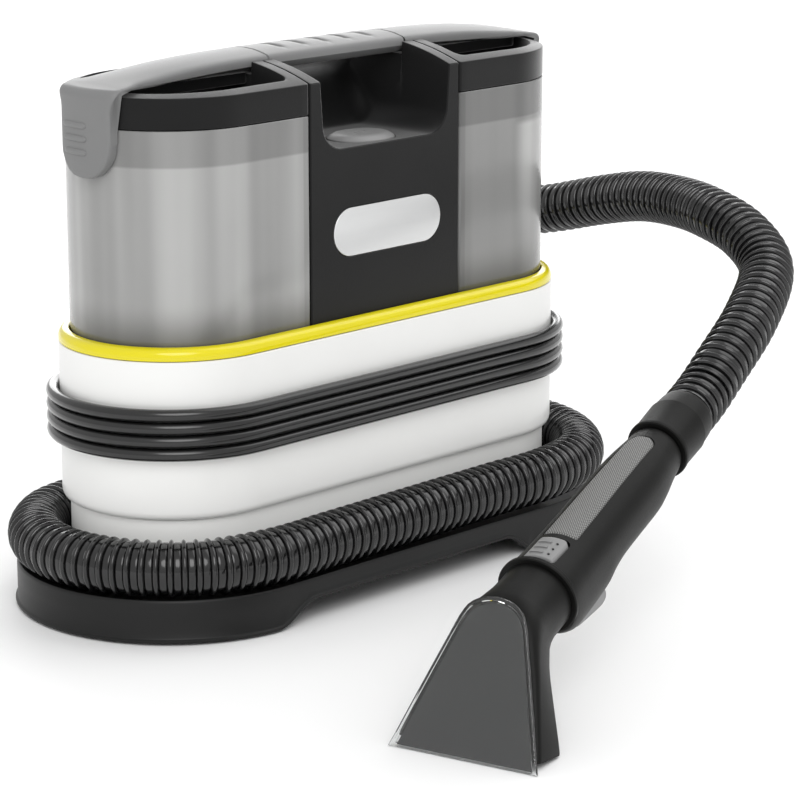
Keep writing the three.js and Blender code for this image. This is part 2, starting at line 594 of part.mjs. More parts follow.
const HOSE_ROUTE = [
  [SOCKET_END + 0.6, SOCKET_Y, SOCKET_Z], [64, SOCKET_Y, SOCKET_Z], [80, 71.6, 40.6],
  ...lapEnd(1, 72.4, 90, -90, 40, 37.4),
  [60, -71, 36.6], [20, -70.4, 36], [-20, -70.2, 35.5], [-60, -70.2, 35.1],
  ...lapEnd(-1, 70.2, 270, 90, 34.9, 35),
  [-66, 74.5, 38], [-34, 83.5, 44.5], [0, 94.5, 53], [34, 104.5, 63.5], [68, 113, 76.5], [102, 118, 92],
  [136, 117, 108], [168, 107, 122], [196, 88, 134], [214, 60, 142.5], [221, 30, 149], [220, -4.5, 158],
  [212.2, -40, 165.6], [200.6, -74.6, 168.6], [186.4, -106.2, 168.8], [175.4, -137.6, 163.4],
  [158, -166, 152.4], [118, -187.8, 136], [82, -197.4, 118.6], [66.4, -200.5, 109.9],
  [56.4, -203, 106], [47.1, -205.2, 103],
];
add('suction_hose', cord(HOSE_ROUTE, HOSE_D, 66, 8), BLACK);

// ---------------------------------------------------------------- hand tool
const tool = new THREE.Group();
tool.position.set(...TOOL_AT);
tool.rotation.z = THREE.MathUtils.degToRad(TOOL_TURN);
object.add(tool);

const tilt = THREE.MathUtils.degToRad(WINDOW_TILT);
const windowFrame = new THREE.Matrix4().makeBasis(
  new THREE.Vector3(0, -1, 0),
  new THREE.Vector3(Math.cos(tilt), 0, Math.sin(tilt)),
  new THREE.Vector3(-Math.sin(tilt), 0, Math.cos(tilt)));

/** The nozzle's face, as wide as the mouth below and narrow with round corners above. */
function faceShape(inset) {
  const shape = new THREE.Shape();
  const top = WINDOW_LENGTH - inset;
  const shoulder = 60;
  shape.moveTo(-MOUTH_HALF + inset, -inset);
  shape.lineTo(MOUTH_HALF - inset, -inset);
  shape.quadraticCurveTo(26.6 - inset, 30, 16.6 - inset, shoulder);
  shape.bezierCurveTo(14.4 - inset, shoulder + 6, 12.6 - inset, top, 5, top);
  shape.lineTo(-5, top);
  shape.bezierCurveTo(-12.6 + inset, top, -14.4 + inset, shoulder + 6, -16.6 + inset, shoulder);
  shape.quadraticCurveTo(-26.6 + inset, 30, -MOUTH_HALF + inset, -inset);
  return shape;
}
const onFace = (shape, low, high) => slab(shape, low, high, 5).applyMatrix4(windowFrame);

const lean = THREE.MathUtils.degToRad(HANDLE_TILT);
const onAxis = (distance) => [
  HANDLE_AT[0] + distance * Math.cos(lean), 0, HANDLE_AT[2] + distance * Math.sin(lean)];
const NOZZLE_LOW = 0.6;
const nozzleSide = polygon([
  [2.9, NOZZLE_LOW], [27.3, NOZZLE_LOW], [31, 12], [36, 21.5], [41, 28], [50, 33], [46, 60], [40, 65],
  [34, 64.2]]);
const cavitySide = polygon([
  [-8, -4], [24.4, -4], [28.4, 13], [33.2, 23.2], [38.6, 30.6], [46, 35.6], [43, 56], [34, 60], [18, 60],
]);
const nozzleShell = join(
  common(across(nozzleSide, -45, 45), onFace(faceShape(0), -70, 0)),
  rod(onAxis(-33), onAxis(-0.5), 15.6, 17, 18));
const nozzleCavity = common(across(cavitySide, -45, 45), onFace(faceShape(WALL), -70, 8));
add('nozzle_body', cut(
  join(cut(nozzleShell, nozzleCavity), rod(onAxis(-3), onAxis(13), 11, 11, 16)),
  rod(onAxis(-30), onAxis(20), 9, 9, 16)), CHARCOAL, tool);
add('nozzle_window', cut(onFace(faceShape(0), -2, 0), box([-20, -50, -5], [20, 50, NOZZLE_LOW])),
  CLEAR, tool);
add('spray_tip', rod([66.2, 0, 35], [66.2, 0, 26.5], 3, 2, 12), BRASS, tool);

const handle = new THREE.Group();
handle.position.set(...HANDLE_AT);
handle.rotation.y = -lean;
tool.add(handle);

/** Handle sections: [distance, half width, height above the axis, depth below it]. */
const HANDLE_SECTIONS = [
  [0, 18.4, 17.2, 19.4], [4, 18.6, 17, 22.2], [14, 18, 16.3, 24.6], [28, 17.3, 15.9, 24.8],
  [41, 17, 15.8, 23.4], [48, 16.8, 15.8, 20.4], [56, 16.6, 15.7, 18.2], [80, 16.4, 15.4, 17.8],
  [98, 15.9, 15, 18], [112, 14.6, 14.2, 15], [124.5, 13.2, 13.3, 13.2],
];
const FLANK_ROUNDNESS = 0.8;

function handleLoops(inset, reach) {
  return HANDLE_SECTIONS.map(([x, half, above, below], i) => {
    const end = i === 0 ? -reach : reach;
    const shift = i === 0 || i === HANDLE_SECTIONS.length - 1 ? end : 0;
    const loop = [];
    for (let k = 0; k < 16; k += 1) {
      const angle = (k * Math.PI) / 8;
      const [c, n] = [Math.cos(angle), Math.sin(angle)];
      if (n > -1e-9) loop.push([x + shift, (half - inset) * c, (above - inset) * n]);
      else {
        const power = i < HANDLE_SECTIONS.length - 2 ? FLANK_ROUNDNESS : 1;
        const fuller = (t) => Math.sign(t) * Math.abs(t) ** power;
        loop.push([x + shift, (half - inset) * fuller(c), (below - inset) * fuller(n)]);
      }
    }
    return loop;
  });
}
const handleSkin = cut(loft(handleLoops(0, 0)), loft(handleLoops(2.2, 2)));
const bulkhead = (from, to, radius, bore) =>
  cut(rod([from, 0, 0], [to, 0, 0], radius, radius, 20),
    rod([from - 1, 0, 0], [to + 1, 0, 0], bore, bore, 20));
const insertBed = cut(slab(roundedRect(90, 16, 4, 71, 0), 5, 30, 4), loft(handleLoops(1.2, 0)));
const buttonPlan = roundedRect(18.4, 15.6, 4, 13.4, 0);
const TRIGGER_HALF = 9;
const triggerRoom = box([11.4, -TRIGGER_HALF - 0.4, -40], [46, TRIGGER_HALF + 0.4, -15.9]);
const TRIGGER_PIN = [15.8, -20];
const triggerHole = rod([TRIGGER_PIN[0], -12, TRIGGER_PIN[1]], [TRIGGER_PIN[0], 12, TRIGGER_PIN[1]],
  1.55, 1.55, 10);

function handleShell(low, high) {
  const buttonOpening = slab(roundedRect(19.2, 16.4, 4.4, 13.4, 0), 11, 30, 4);
  const hollow = join(handleSkin, bulkhead(0.6, 3.4, 16, 11.4), bulkhead(120.6, 123.4, 12.7, 10.4));
  const whole = cut(hollow, insertBed, buttonOpening, triggerRoom, triggerHole);
  return common(whole, box([-5, low, -45], [130, high, 45]));
}
add('handle_shell_left', handleShell(0.15, 40), CHARCOAL, handle);
add('handle_shell_right', handleShell(-40, -0.15), CHARCOAL, handle);
add('grip_insert', common(slab(roundedRect(89.4, 15.4, 3.7, 71, 0), 5, 30, 4),
  cut(loft(handleLoops(-0.1, 0)), loft(handleLoops(0.9, 1)))), MID_GREY, handle);
add('release_button', common(slab(buttonPlan, 13.4, 30, 4), loft(handleLoops(-1, 0))), MID_GREY, handle);

const triggerSide = polygon([
  [12.6, -17.4], [12.2, -21], [14, -24.6], [26, -27], [40, -29.2], [44, -28], [44.8, -25],
  [43, -21.4], [30, -20], [19, -17.2],
]);
add('trigger', cut(
  across(triggerSide, -TRIGGER_HALF, TRIGGER_HALF),
  rod([TRIGGER_PIN[0], -12, TRIGGER_PIN[1]], [TRIGGER_PIN[0], 12, TRIGGER_PIN[1]], 1.65, 1.65, 10)),
  MID_GREY, handle);
add('trigger_pin', rod([TRIGGER_PIN[0], -11, TRIGGER_PIN[1]], [TRIGGER_PIN[0], 11, TRIGGER_PIN[1]],
  1.35, 1.35, 10),
  STEEL, handle);
add('spray_valve', rod([38, 0, -12.2], [60, 0, -12.2], 3, 3, 12), BRASS, handle);
add('solution_tube', rod([60.4, 0, -12.2], [110, 0, -9], 1.8, 1.8, 8), CLEAR, handle);

const CUFF_FROM = HANDLE_LENGTH + 0.4;
add('hose_cuff', cut(
  join(rod([CUFF_FROM, 0, 0], [CUFF_FROM + 22, 0, 0], CUFF_R, CUFF_R - 0.2, 24),
    rod([CUFF_FROM + 21, 0, 0], [CUFF_FROM + CUFF_LENGTH, 0, 0], CUFF_R - 0.2, CUFF_R - 1.6, 24),
    rod([114, 0, 0], [CUFF_FROM + 1, 0, 0], 9.8, 9.8, 20)),
  rod([100, 0, 0], [170, 0, 0], 8, 8, 20)), CHARCOAL, handle);

export default object;
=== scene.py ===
import math
import bpy
import bmesh
from mathutils import Matrix, Vector


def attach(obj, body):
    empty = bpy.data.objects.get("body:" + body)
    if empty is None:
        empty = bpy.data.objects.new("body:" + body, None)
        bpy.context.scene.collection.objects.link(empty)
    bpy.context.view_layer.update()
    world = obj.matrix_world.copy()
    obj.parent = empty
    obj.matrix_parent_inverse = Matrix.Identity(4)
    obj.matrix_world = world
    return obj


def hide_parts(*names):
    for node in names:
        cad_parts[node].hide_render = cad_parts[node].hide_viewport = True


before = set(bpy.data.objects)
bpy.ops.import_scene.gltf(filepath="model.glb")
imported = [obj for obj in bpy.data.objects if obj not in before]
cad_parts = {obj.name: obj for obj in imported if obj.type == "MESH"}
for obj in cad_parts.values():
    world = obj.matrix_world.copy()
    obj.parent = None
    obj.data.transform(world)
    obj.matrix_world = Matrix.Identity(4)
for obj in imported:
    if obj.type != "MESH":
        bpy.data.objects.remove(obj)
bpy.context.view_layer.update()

MM = 0.001
WELD = 1e-7  # metres: points nearer than this become one
CUT_ANGLE = 30.0  # degrees: edges sharper than this stay sharp on a carved piece
UP = (0, 0, 1)
TOWARD_X = (1, 0, 0)
AWAY_X = (-1, 0, 0)

# ------------------------------------------------------------------ sizes, in millimetres
# Plan: the ends' centres, and the radius of each layer round them.
END_X = 96.4
TANK_R = 50.7
BODY_R = 56.6
PLINTH_R = 52.6
TRAY_R = 80.0
FEET = (("front_left", -150, -38), ("back_left", -150, 38), ("front_right", 150, -38),
        ("back_right", 150, 38))
# Column and tanks: the joint between them, the lids' edge and how far they crown over it.
SEAM_X = 52.4
TANK_NEAR = SEAM_X + 0.35
EDGE_Z = 256.0
CROWN = 9.5
# Carrying bar, and the latch tabs that its ends roll over into.
BAR_HALF = 17.2
BAR_TOP_Z = 268.8
BAR_LOW_Z = 258.6
BAR_BED_Z = 258.2
FLARE = 0.16  # share by which a tab widens
TAB_R = 56.2
TAB_IN_R = 51.2
TAB_ROLL = 5.0
RIB_TOP_Z = 242.0
# Hand recess, button and badge.
RIM_IN_X = 45.0
RECESS_BACK = 40.0
RECESS_Z = 222.4
BUTTON_Y = -32.6
BUTTON_POWER = 2.25  # 2 is an ellipse, more is squarer
BADGE_AT = (0.9, 180.6)
# Mains lead.
LEAD_R = 60.15
LEAD_PITCH = 6.4
LEAD_TURNS = 4
LEAD_TOP_Z = 107.2
PLUG_Y = 71.2
PLUG_Z = 88.0
# Hand tool: where it lies, and its handle and window against it.
TOOL_AT = (-167.3, -257.5, 0.0)
TOOL_TURN = math.radians(13.7)
HANDLE_AT = (68.3, 0.0, 54.6)
HANDLE_TILT = math.radians(17.6)
HANDLE_END = 124.5
WINDOW_TILT = math.radians(63.9)
WINDOW_TOP = 72.0
WEAVE_PITCH = 1.5
# Where the dirt tank's wall has the painted light of the pale duct, out from the machine's middle.
DUCT_X = 0.112  # metres, as the material reads it

# ------------------------------------------------------------------ view and light, in metres
CAMERA_AT = (-1.0351, -1.0618, 0.4613)
CAMERA_RIGHT = (0.6954, -0.7186, 0.0)
CAMERA_BACK = (-0.696, -0.6737, 0.2479)
LENS, SENSOR = 133.62, 36.0
WORLD_LIGHT = 0.80
SUNS = (("key", (0.5, 0.62, -0.72), 1.0, 34), ("top", (-0.55, 0.15, -0.8), 0.7, 50),
        ("rim", (-0.6, -0.62, -0.31), 0.9, 40))
FLOOR_REACH = 12.0
FLOOR_TONE = 0.93


# ------------------------------------------------------------------ camera, floor and light
def put(name, data):
    made = bpy.data.objects.new(name, data)
    bpy.context.scene.collection.objects.link(made)
    return made


def aim_camera():
    data = bpy.data.cameras.new("camera")
    data.lens = LENS
    data.sensor_width = SENSOR
    data.clip_start = 0.05
    data.clip_end = 50.0
    right = Vector(CAMERA_RIGHT).normalized()
    back = Vector(CAMERA_BACK).normalized()
    right = (right - back * right.dot(back)).normalized()
    rotation = Matrix((right, back.cross(right), back)).transposed().to_4x4()
    camera = put("camera", data)
    camera.matrix_world = Matrix.Translation(CAMERA_AT) @ rotation
    bpy.context.scene.camera = camera


def studio():
    world = bpy.data.worlds.new("studio")
    world.use_nodes = True
    backdrop = world.node_tree.nodes["Background"]
    backdrop.inputs["Color"].default_value = (1.0, 1.0, 1.0, 1.0)
    backdrop.inputs["Strength"].default_value = WORLD_LIGHT
    bpy.context.scene.world = world
    for name, direction, power, width in SUNS:
        data = bpy.data.lights.new(name, "SUN")
        data.energy = power
        data.angle = math.radians(width)
        put(name, data).rotation_euler = Vector(direction).to_track_quat("-Z", "Y").to_euler()
    bpy.context.scene.view_settings.view_transform = "Standard"
    bpy.context.scene.view_settings.look = "None"

    mesh = bpy.data.meshes.new("floor")
    reach = FLOOR_REACH
    mesh.from_pydata([(-reach, -reach, 0), (reach, -reach, 0), (reach, reach, 0), (-reach, reach, 0)],
                     [], [(0, 1, 2, 3)])
    plain = Look("floor")
    plain.shader.inputs["Base Color"].default_value = (FLOOR_TONE, FLOOR_TONE, FLOOR_TONE, 1)
    plain.shader.inputs["Roughness"].default_value = 0.7
    mesh.materials.append(plain.material)
    put("floor", mesh)


# ------------------------------------------------------------------ materials
class Look:
    """A new material and short ways to add nodes to it."""

    def __init__(self, name):
        self.material = bpy.data.materials.new(name)
        self.material.use_nodes = True
        self.tree = self.material.node_tree
        self.shader = self.tree.nodes["Principled BSDF"]

    def feed(self, socket, value):
        """Sets a socket to a number or links another socket to it."""
        if isinstance(value, bpy.types.NodeSocket):
            self.tree.links.new(value, socket)
        else:
            socket.default_value = value

    def node(self, kind, **inputs):
        made = self.tree.nodes.new("ShaderNode" + kind)
        for name, value in inputs.items():
            self.feed(made.inputs[name.replace("_", " ")], value)
        return made

    def noise(self, scale, detail, place):
        made = self.node("TexNoise", Scale=scale, Vector=place)
        if detail:
            made.inputs["Detail"].default_value = detail
        return made.outputs["Fac"]

    def ramp(self, value, low, high, low_color, high_color):
        made = self.node("ValToRGB", Fac=value)
        for element, position, color in zip(made.color_ramp.elements, (low, high), (low_color, high_color)):
            element.position = position
            element.color = (*color, 1)
        return made.outputs["Color"]

    def step(self, value, low, high, to_low, to_high):
        """A smooth step of value between low and high."""
        made = self.node("MapRange", From_Min=low, From_Max=high, To_Min=to_low, To_Max=to_high, Value=value)
        made.interpolation_type = "SMOOTHSTEP"
        return made.outputs["Result"]

    def math(self, operation, first, second=0.0):
        made = self.node("Math")
        made.operation = operation
        self.feed(made.inputs[0], first)
        self.feed(made.inputs[1], second)
        return made.outputs["Value"]

    def relief(self, height, strength, distance):
        made = self.node("Bump", Strength=strength, Distance=distance, Height=height)
        self.feed(self.shader.inputs["Normal"], made.outputs["Normal"])


def surface(name, color, roughness, metallic=0.0, coat=0.0, coat_roughness=0.1, specular=0.5,
            transmission=0.0, ior=1.45, grain=0.0005, bump=0.0, tint=0.06, rough_spread=0.08,
            stretch=(1, 1, 1), sheen=0.0):
    """A moulded or brushed surface: colour drift, uneven gloss and a fine relief of the given grain size."""
    look = Look(name)
    for socket, value in (("Metallic", metallic), ("Coat Weight", coat), ("Coat Roughness", coat_roughness),
                          ("Specular IOR Level", specular), ("Transmission Weight", transmission),
                          ("IOR", ior), ("Sheen Weight", sheen), ("Sheen Roughness", 0.35)):
        look.shader.inputs[socket].default_value = value
    place = look.node("TexCoord").outputs["Object"]
    place = look.node("Mapping", Scale=stretch, Vector=place).outputs["Vector"]
    tones = [[min(1, c * (1 + side * tint)) for c in color] for side in (-1, 1)]
    drift = look.ramp(look.noise(24.0, 4.0, place), 0.3, 0.7, *tones)
    look.feed(look.shader.inputs["Base Color"], drift)
    fine = look.noise(1.0 / grain, None, place)
    gloss = look.node("MapRange", To_Min=max(0.02, roughness - rough_spread),
                      To_Max=min(1.0, roughness + rough_spread), Value=fine)
    look.feed(look.shader.inputs["Roughness"], gloss.outputs["Result"])
    if bump:
        look.relief(fine, bump, grain * 0.25)
    return look


def smoky_painted_light(name, tone, duct_x):
    """Smoke-tinted tank wall with painted light and shade in its colour: painted shade over the lid's skirt
    seen through it, at the foot and beside the column, painted streaks of reflected light, and the painted
    light of the pale duct behind it where the tank has one."""
    look = surface(name, (tone, tone, tone * 0.985), 0.2, transmission=0.12, specular=0.45, coat=0.15,
                   grain=0.003, bump=0.02, tint=0.02, rough_spread=0.04)
    place = look.node("TexCoord").outputs["Object"]
    split = look.node("SeparateXYZ", Vector=place)
    height = split.outputs["Z"]
    away = look.math("ABSOLUTE", split.outputs["X"])
    # Stretched upright, for the painted streaks of reflected light.
    tall = look.node("Mapping", Scale=(1.0, 1.0, 0.03), Vector=place).outputs["Vector"]
    # Painted shade over the lid's skirt behind the wall, above 222.6 mm.
    total = look.step(height, 0.2226, 0.2242, 1.0, 0.66)
    # Painted shade at the foot and beside the column; the stretched noise gives painted streaks of reflected
    # light.
    for more in (look.step(height, 0.137, 0.160, 0.40, 1.0), look.step(away, 0.0565, 0.0575, 0.84, 1.0),
                 look.step(look.noise(38.0, 2.0, tall), 0.34, 0.66, 0.78, 1.2)):
        total = look.math("MULTIPLY", total, more)
    # Painted light: the pale duct behind the wall is painted in as a lighter band of the wall's colour.
    if duct_x:
        painted_duct_light = look.step(away, duct_x - 0.019, duct_x - 0.010, 0.0, 1.0)
        for more in (look.step(away, duct_x + 0.010, duct_x + 0.024, 1.0, 0.0),
                     look.step(height, 0.150, 0.212, 0.15, 1.0),
                     look.step(height, 0.2185, 0.2225, 1.0, 0.1)):
            painted_duct_light = look.math("MULTIPLY", painted_duct_light, more)
        lift = look.math("ADD", look.math("MULTIPLY", painted_duct_light, 0.95), 1.0)
        total = look.math("MULTIPLY", total, lift)
    # The painted light and shade scale the wall's own colour.
    color = look.shader.inputs["Base Color"].links[0].from_socket
    scale = look.node("VectorMath")
    scale.operation = "SCALE"
    look.feed(scale.inputs[0], color)
    look.feed(scale.inputs["Scale"], total)
    look.feed(look.shader.inputs["Base Color"], scale.outputs["Vector"])
    return look


def woven(name):
    """A moulded weave of small diamonds, laid out by the piece's own flat coordinates, with painted shade in
    its hollows and painted light on its raised diamonds.
    """
    look = Look(name)
    look.shader.inputs["Specular IOR Level"].default_value = 0.35
    flat = look.node("UVMap")
    flat.uv_map = "flat"
    split = look.node("SeparateXYZ", Vector=flat.outputs["UV"])
    waves = []
    for slope in (1.25, -1.25):
        along = look.math("ADD", split.outputs["X"], look.math("MULTIPLY", split.outputs["Y"], slope))
        wave = look.math("SINE", look.math("MULTIPLY", along, math.pi / WEAVE_PITCH))
        waves.append(look.math("ABSOLUTE", wave))
    knot = look.math("MULTIPLY", *waves)
    # Painted shade and light: the tone follows the weave's relief, dark in the hollows and pale on the
    # diamonds.
    tone = look.ramp(knot, 0.05, 0.6, (0.055, 0.055, 0.054), (0.26, 0.26, 0.255))
    look.feed(look.shader.inputs["Base Color"], tone)
    look.feed(look.shader.inputs["Roughness"], look.step(knot, 0.0, 1.0, 0.7, 0.42))
    look.relief(knot, 0.5, 0.0003)
    return look


# Colour, roughness and the rest of what surface() takes.
LOOKS = {
    "charcoal": ((0.007, 0.007, 0.0072), 0.42, dict(specular=0.2, grain=0.0006, bump=0.4, tint=0.12,
        sheen=0.55)),
    "tool_black": ((0.006, 0.006, 0.0056), 0.42, dict(specular=0.17, grain=0.0007, bump=0.3, tint=0.12)),
    "black": ((0.009, 0.009, 0.009), 0.32, dict(specular=0.35, grain=0.0008, bump=0.12, tint=0.12)),
    "tray": ((0.010, 0.010, 0.010), 0.4, dict(specular=0.3, grain=0.0006, bump=0.2, tint=0.12)),
    "hose": ((0.004, 0.004, 0.0042), 0.2, dict(specular=0.5, coat=0.45, coat_roughness=0.08, grain=0.002,
        bump=0.04, tint=0.15, rough_spread=0.05)),
    "lead": ((0.008, 0.008, 0.008), 0.22, dict(specular=0.5, coat=0.4, coat_roughness=0.12, grain=0.001,
        bump=0.04, tint=0.12)),
    "white": ((0.83, 0.83, 0.815), 0.34, dict(coat=0.2, coat_roughness=0.15, grain=0.0009, bump=0.06,
        tint=0.012, rough_spread=0.05)),
    "plinth": ((0.95, 0.95, 0.93), 0.42, dict(grain=0.0009, bump=0.08, tint=0.015)),
    "yellow": ((0.74, 0.64, 0.002), 0.2, dict(specular=0.4, coat=0.4, coat_roughness=0.06, grain=0.0012,
        bump=0.04, tint=0.02, rough_spread=0.04)),
    "mid_grey": ((0.196, 0.197, 0.197), 0.42, dict(specular=0.28, grain=0.0006, bump=0.16, tint=0.03)),
    "pale_grey": ((0.23, 0.23, 0.23), 0.38, dict(specular=0.4, grain=0.0006, bump=0.14, tint=0.03)),
    "smoke": ((0.50, 0.50, 0.49), 0.2, dict(transmission=0.4, ior=1.3, grain=0.003, bump=0.03, tint=0.02,
        rough_spread=0.04)),
    "duct": ((0.8, 0.8, 0.79), 0.5, dict(grain=0.001, bump=0.05, tint=0.02)),
    "clear": ((0.96, 0.97, 0.97), 0.03, dict(transmission=1.0, ior=1.45, grain=0.004, bump=0.01,
        tint=0.01, rough_spread=0.02)),
    "rubber": ((0.012, 0.012, 0.012), 0.7, dict(specular=0.3, grain=0.0008, bump=0.3, tint=0.15)),
    "steel": ((0.62, 0.63, 0.64), 0.3, dict(metallic=1.0, grain=0.0009, bump=0.1, stretch=(0.05, 1, 1),
        tint=0.05, rough_spread=0.1)),
    "badge": ((0.74, 0.745, 0.745), 0.4, dict(metallic=0.85, grain=0.0006, bump=0.3, stretch=(0.02, 1, 1),
        tint=0.12, rough_spread=0.1)),
    "brass": ((0.65, 0.48, 0.2), 0.3, dict(metallic=1.0, grain=0.0007, bump=0.1, tint=0.05)),
    "board": ((0.03, 0.2, 0.07), 0.5, dict(grain=0.003, bump=0.2, tint=0.2)),
    "nozzle_plane": ((0.052, 0.052, 0.052), 0.5, dict(specular=0.3, grain=0.0006, bump=0.006, tint=0.01)),
    "trigger": ((0.24, 0.24, 0.24), 0.4, dict(specular=0.4, grain=0.0006, bump=0.14, tint=0.03)),
}


def make_materials():
    looks = {name: surface(name, color, roughness, **more)
             for name, (color, roughness, more) in LOOKS.items()}
    looks["fresh_smoke"] = smoky_painted_light("fresh_smoke", 0.40, None)
    looks["dirt_smoke"] = smoky_painted_light("dirt_smoke", 0.235, DUCT_X)
    looks["pad"] = woven("pad")
    return {name: look.material for name, look in looks.items()}


# ------------------------------------------------------------------ mesh makers
def outward(name, verts, faces, weld):
    """A mesh in metres from points in millimetres, with its faces turned outward."""
    mesh = bpy.data.meshes.new(name)
    mesh.from_pydata([Vector(p) * MM for p in verts], [], faces)
    edit = bmesh.new()
    edit.from_mesh(mesh)
    if weld:
        bmesh.ops.remove_doubles(edit, verts=edit.verts, dist=WELD)
    bmesh.ops.recalc_face_normals(edit, faces=edit.faces)
    edit.to_mesh(mesh)
    edit.free()
    return mesh


def smooth(mesh, angle):
    """Smooth shading, but for the edges sharper than angle."""
    mesh.polygons.foreach_set("use_smooth", [True] * len(mesh.polygons))
    mesh.set_sharp_from_angle(angle=math.radians(angle))


def piece(name, verts, faces, material, angle=32.0, body="machine", replaces=(), slot=None, at=None):
    """A visible piece from a closed mesh, in the frame at where one is given."""
    if at is not None:
        verts, faces = placed(at, (verts, faces))
    mesh = outward(name, verts, faces, True)
    smooth(mesh, angle)
    mesh.materials.append(MATERIALS[material])
    made = put(name, mesh)
    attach(made, body)
    if replaces:
        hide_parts(*replaces)
    return made


def placed(matrix, made):
    verts, faces = made
    return [matrix @ Vector(v) for v in verts], faces


def skin(rows, ring=False, caps=True):
    """Faces over rows of points: each row a loop, the rows open or joined in a ring."""
    count, last = len(rows[0]), len(rows)
    verts = [point for row in rows for point in row]
    faces = []
    for i in range(last if ring else last - 1):
        a, b = i * count, ((i + 1) % last) * count
        for j in range(count):
            k = (j + 1) % count
            faces.append((a + j, a + k, b + k, b + j))
    if caps and not ring:
        faces.append(tuple(range(count))[::-1])
        faces.append(tuple(range((last - 1) * count, last * count)))
    return verts, faces


def merge(*parts):
    verts, faces = [], []
    for more_verts, more_faces in parts:
        start = len(verts)
        verts += list(more_verts)
        faces += [tuple(start + i for i in face) for face in more_faces]
    return verts, faces


def rounded(corners, steps=4):
    """A closed outline of (a, b, radius) corners, each corner eased by its radius."""
    out = []
    count = len(corners)
    for i, (a, b, radius) in enumerate(corners):
        here = Vector((a, b))
        before = Vector(corners[i - 1][:2])
        after = Vector(corners[(i + 1) % count][:2])
        if radius <= 0:
            out.append((a, b))
            continue
        to_before, to_after = before - here, after - here
        start = here + to_before.normalized() * min(radius, to_before.length * 0.49)
        end = here + to_after.normalized() * min(radius, to_after.length * 0.49)
        for k in range(steps + 1):
            t = k / steps
            point = start * (1 - t) ** 2 + here * 2 * t * (1 - t) + end * t ** 2
            out.append((point.x, point.y))
    return out


def rounded_box(x0, y0, x1, y1, radius, far_radius=None):
    """A rectangle with rounded corners; far_radius is for the two at x1."""
    far = radius if far_radius is None else far_radius
    return rounded([(x0, y0, radius), (x1, y0, far), (x1, y1, far), (x0, y1, radius)])


def stations(arc_steps=36, straight=14, half=END_X):
    """Stops round a stadium: (centre x, cosine, sine)."""
    stops = []
    for side in (1, -1):
        for i in range(arc_steps + 1):
            angle = (-math.pi / 2 if side > 0 else math.pi / 2) + math.pi * i / arc_steps
            stops.append((side * half, math.cos(angle), math.sin(angle)))
        for i in range(1, straight):
            stops.append((side * half * (1 - 2 * i / straight), 0.0, float(side)))
    return stops


def hoop(section, arc_steps=36, straight=8):
    rows = [[(centre + r * c, r * s, z) for r, z in section]
            for centre, c, s in stations(arc_steps, straight)]
    return skin(rows, ring=True)


def distances(line):
    """The distance of each point along a line."""
    out = [0.0]
    for a, b in zip(line, line[1:]):
        out.append(out[-1] + (b - a).length)
    return out


def along_line(line, stops):
    """Points at the given distances along a line."""
    lengths = distances(line)
    out, at = [], 0
    for stop in stops:
        while at < len(line) - 2 and lengths[at + 1] < stop:
            at += 1
        gap = lengths[at + 1] - lengths[at]
        out.append(line[at].lerp(line[at + 1], (stop - lengths[at]) / gap if gap else 0.0))
    return out


def resample(line, step):
    """The line again, in equal lengths of about a step."""
    total = distances(line)[-1]
    count = max(2, int(round(total / step)))
    return along_line(line, [total * i / count for i in range(count + 1)])


def smooth_line(points, each=12):
    """A centripetal Catmull-Rom line through the points."""
    p = [Vector(q) for q in points]
    p = [2 * p[0] - p[1]] + p + [2 * p[-1] - p[-2]]
    out = []
    for i in range(1, len(p) - 2):
        p0, p1, p2, p3 = p[i - 1:i + 3]
        d0, d1, d2 = (max(1e-6, (b - a).length) ** 0.5 for a, b in ((p0, p1), (p1, p2), (p2, p3)))
        t1 = (p1 - p0) / d0 - (p2 - p0) / (d0 + d1) + (p2 - p1) / d1
        t2 = (p2 - p1) / d1 - (p3 - p1) / (d1 + d2) + (p3 - p2) / d2
        m1, m2 = t1 * d1, t2 * d1
        for k in range(each):
            t = k / each
            out.append((2 * t ** 3 - 3 * t ** 2 + 1) * p1 + (t ** 3 - 2 * t ** 2 + t) * m1
                       + (3 * t ** 2 - 2 * t ** 3) * p2 + (t ** 3 - t ** 2) * m2)
    out.append(p[-2].copy())
    return out


def sweep(line, radii, sides):
    """Rings of the given radii round a line, turned as little as possible from one to the next."""
    rows = []
    normal = None
    for i, point in enumerate(line):
        forward = (line[min(i + 1, len(line) - 1)] - line[max(i - 1, 0)]).normalized()
        if normal is None:
            normal = forward.cross(Vector(UP)).normalized()
        normal = (normal - forward * normal.dot(forward)).normalized()
        other = forward.cross(normal)
        rows.append([point + radii[i] * (math.cos(a) * normal + math.sin(a) * other)
                     for a in (2 * math.pi * k / sides for k in range(sides))])
    return skin(rows)


def turned(profile, start, axis, sides=48, caps=True):
    """A solid of revolution: profile of (distance along the axis, radius) from start along axis."""
    axis = Vector(axis).normalized()
    side = axis.cross(Vector(UP))
    if side.length < 1e-6:
        side = axis.cross(Vector(TOWARD_X))
    side.normalize()
    other = axis.cross(side)
    start = Vector(start)
    rows = [[start + axis * along + radius * (math.cos(a) * side + math.sin(a) * other)
             for a in (2 * math.pi * k / sides for k in range(sides))] for along, radius in profile]
    return skin(rows, caps=caps)


def carve(made, *cutters):
    """Cuts closed meshes out of a piece for good."""
    for verts, faces in cutters:
        cutter = put("cutter", outward("cutter", verts, faces, False))
        modifier = made.modifiers.new("cut", "BOOLEAN")
        modifier.operation = "DIFFERENCE"
        modifier.solver = "EXACT"
        modifier.object = cutter
        bpy.context.view_layer.update()
        result = bpy.data.meshes.new_from_object(made.evaluated_get(bpy.context.evaluated_depsgraph_get()))
        made.modifiers.remove(modifier)
        made.data = result
        bpy.data.objects.remove(cutter)
    smooth(made.data, CUT_ANGLE)


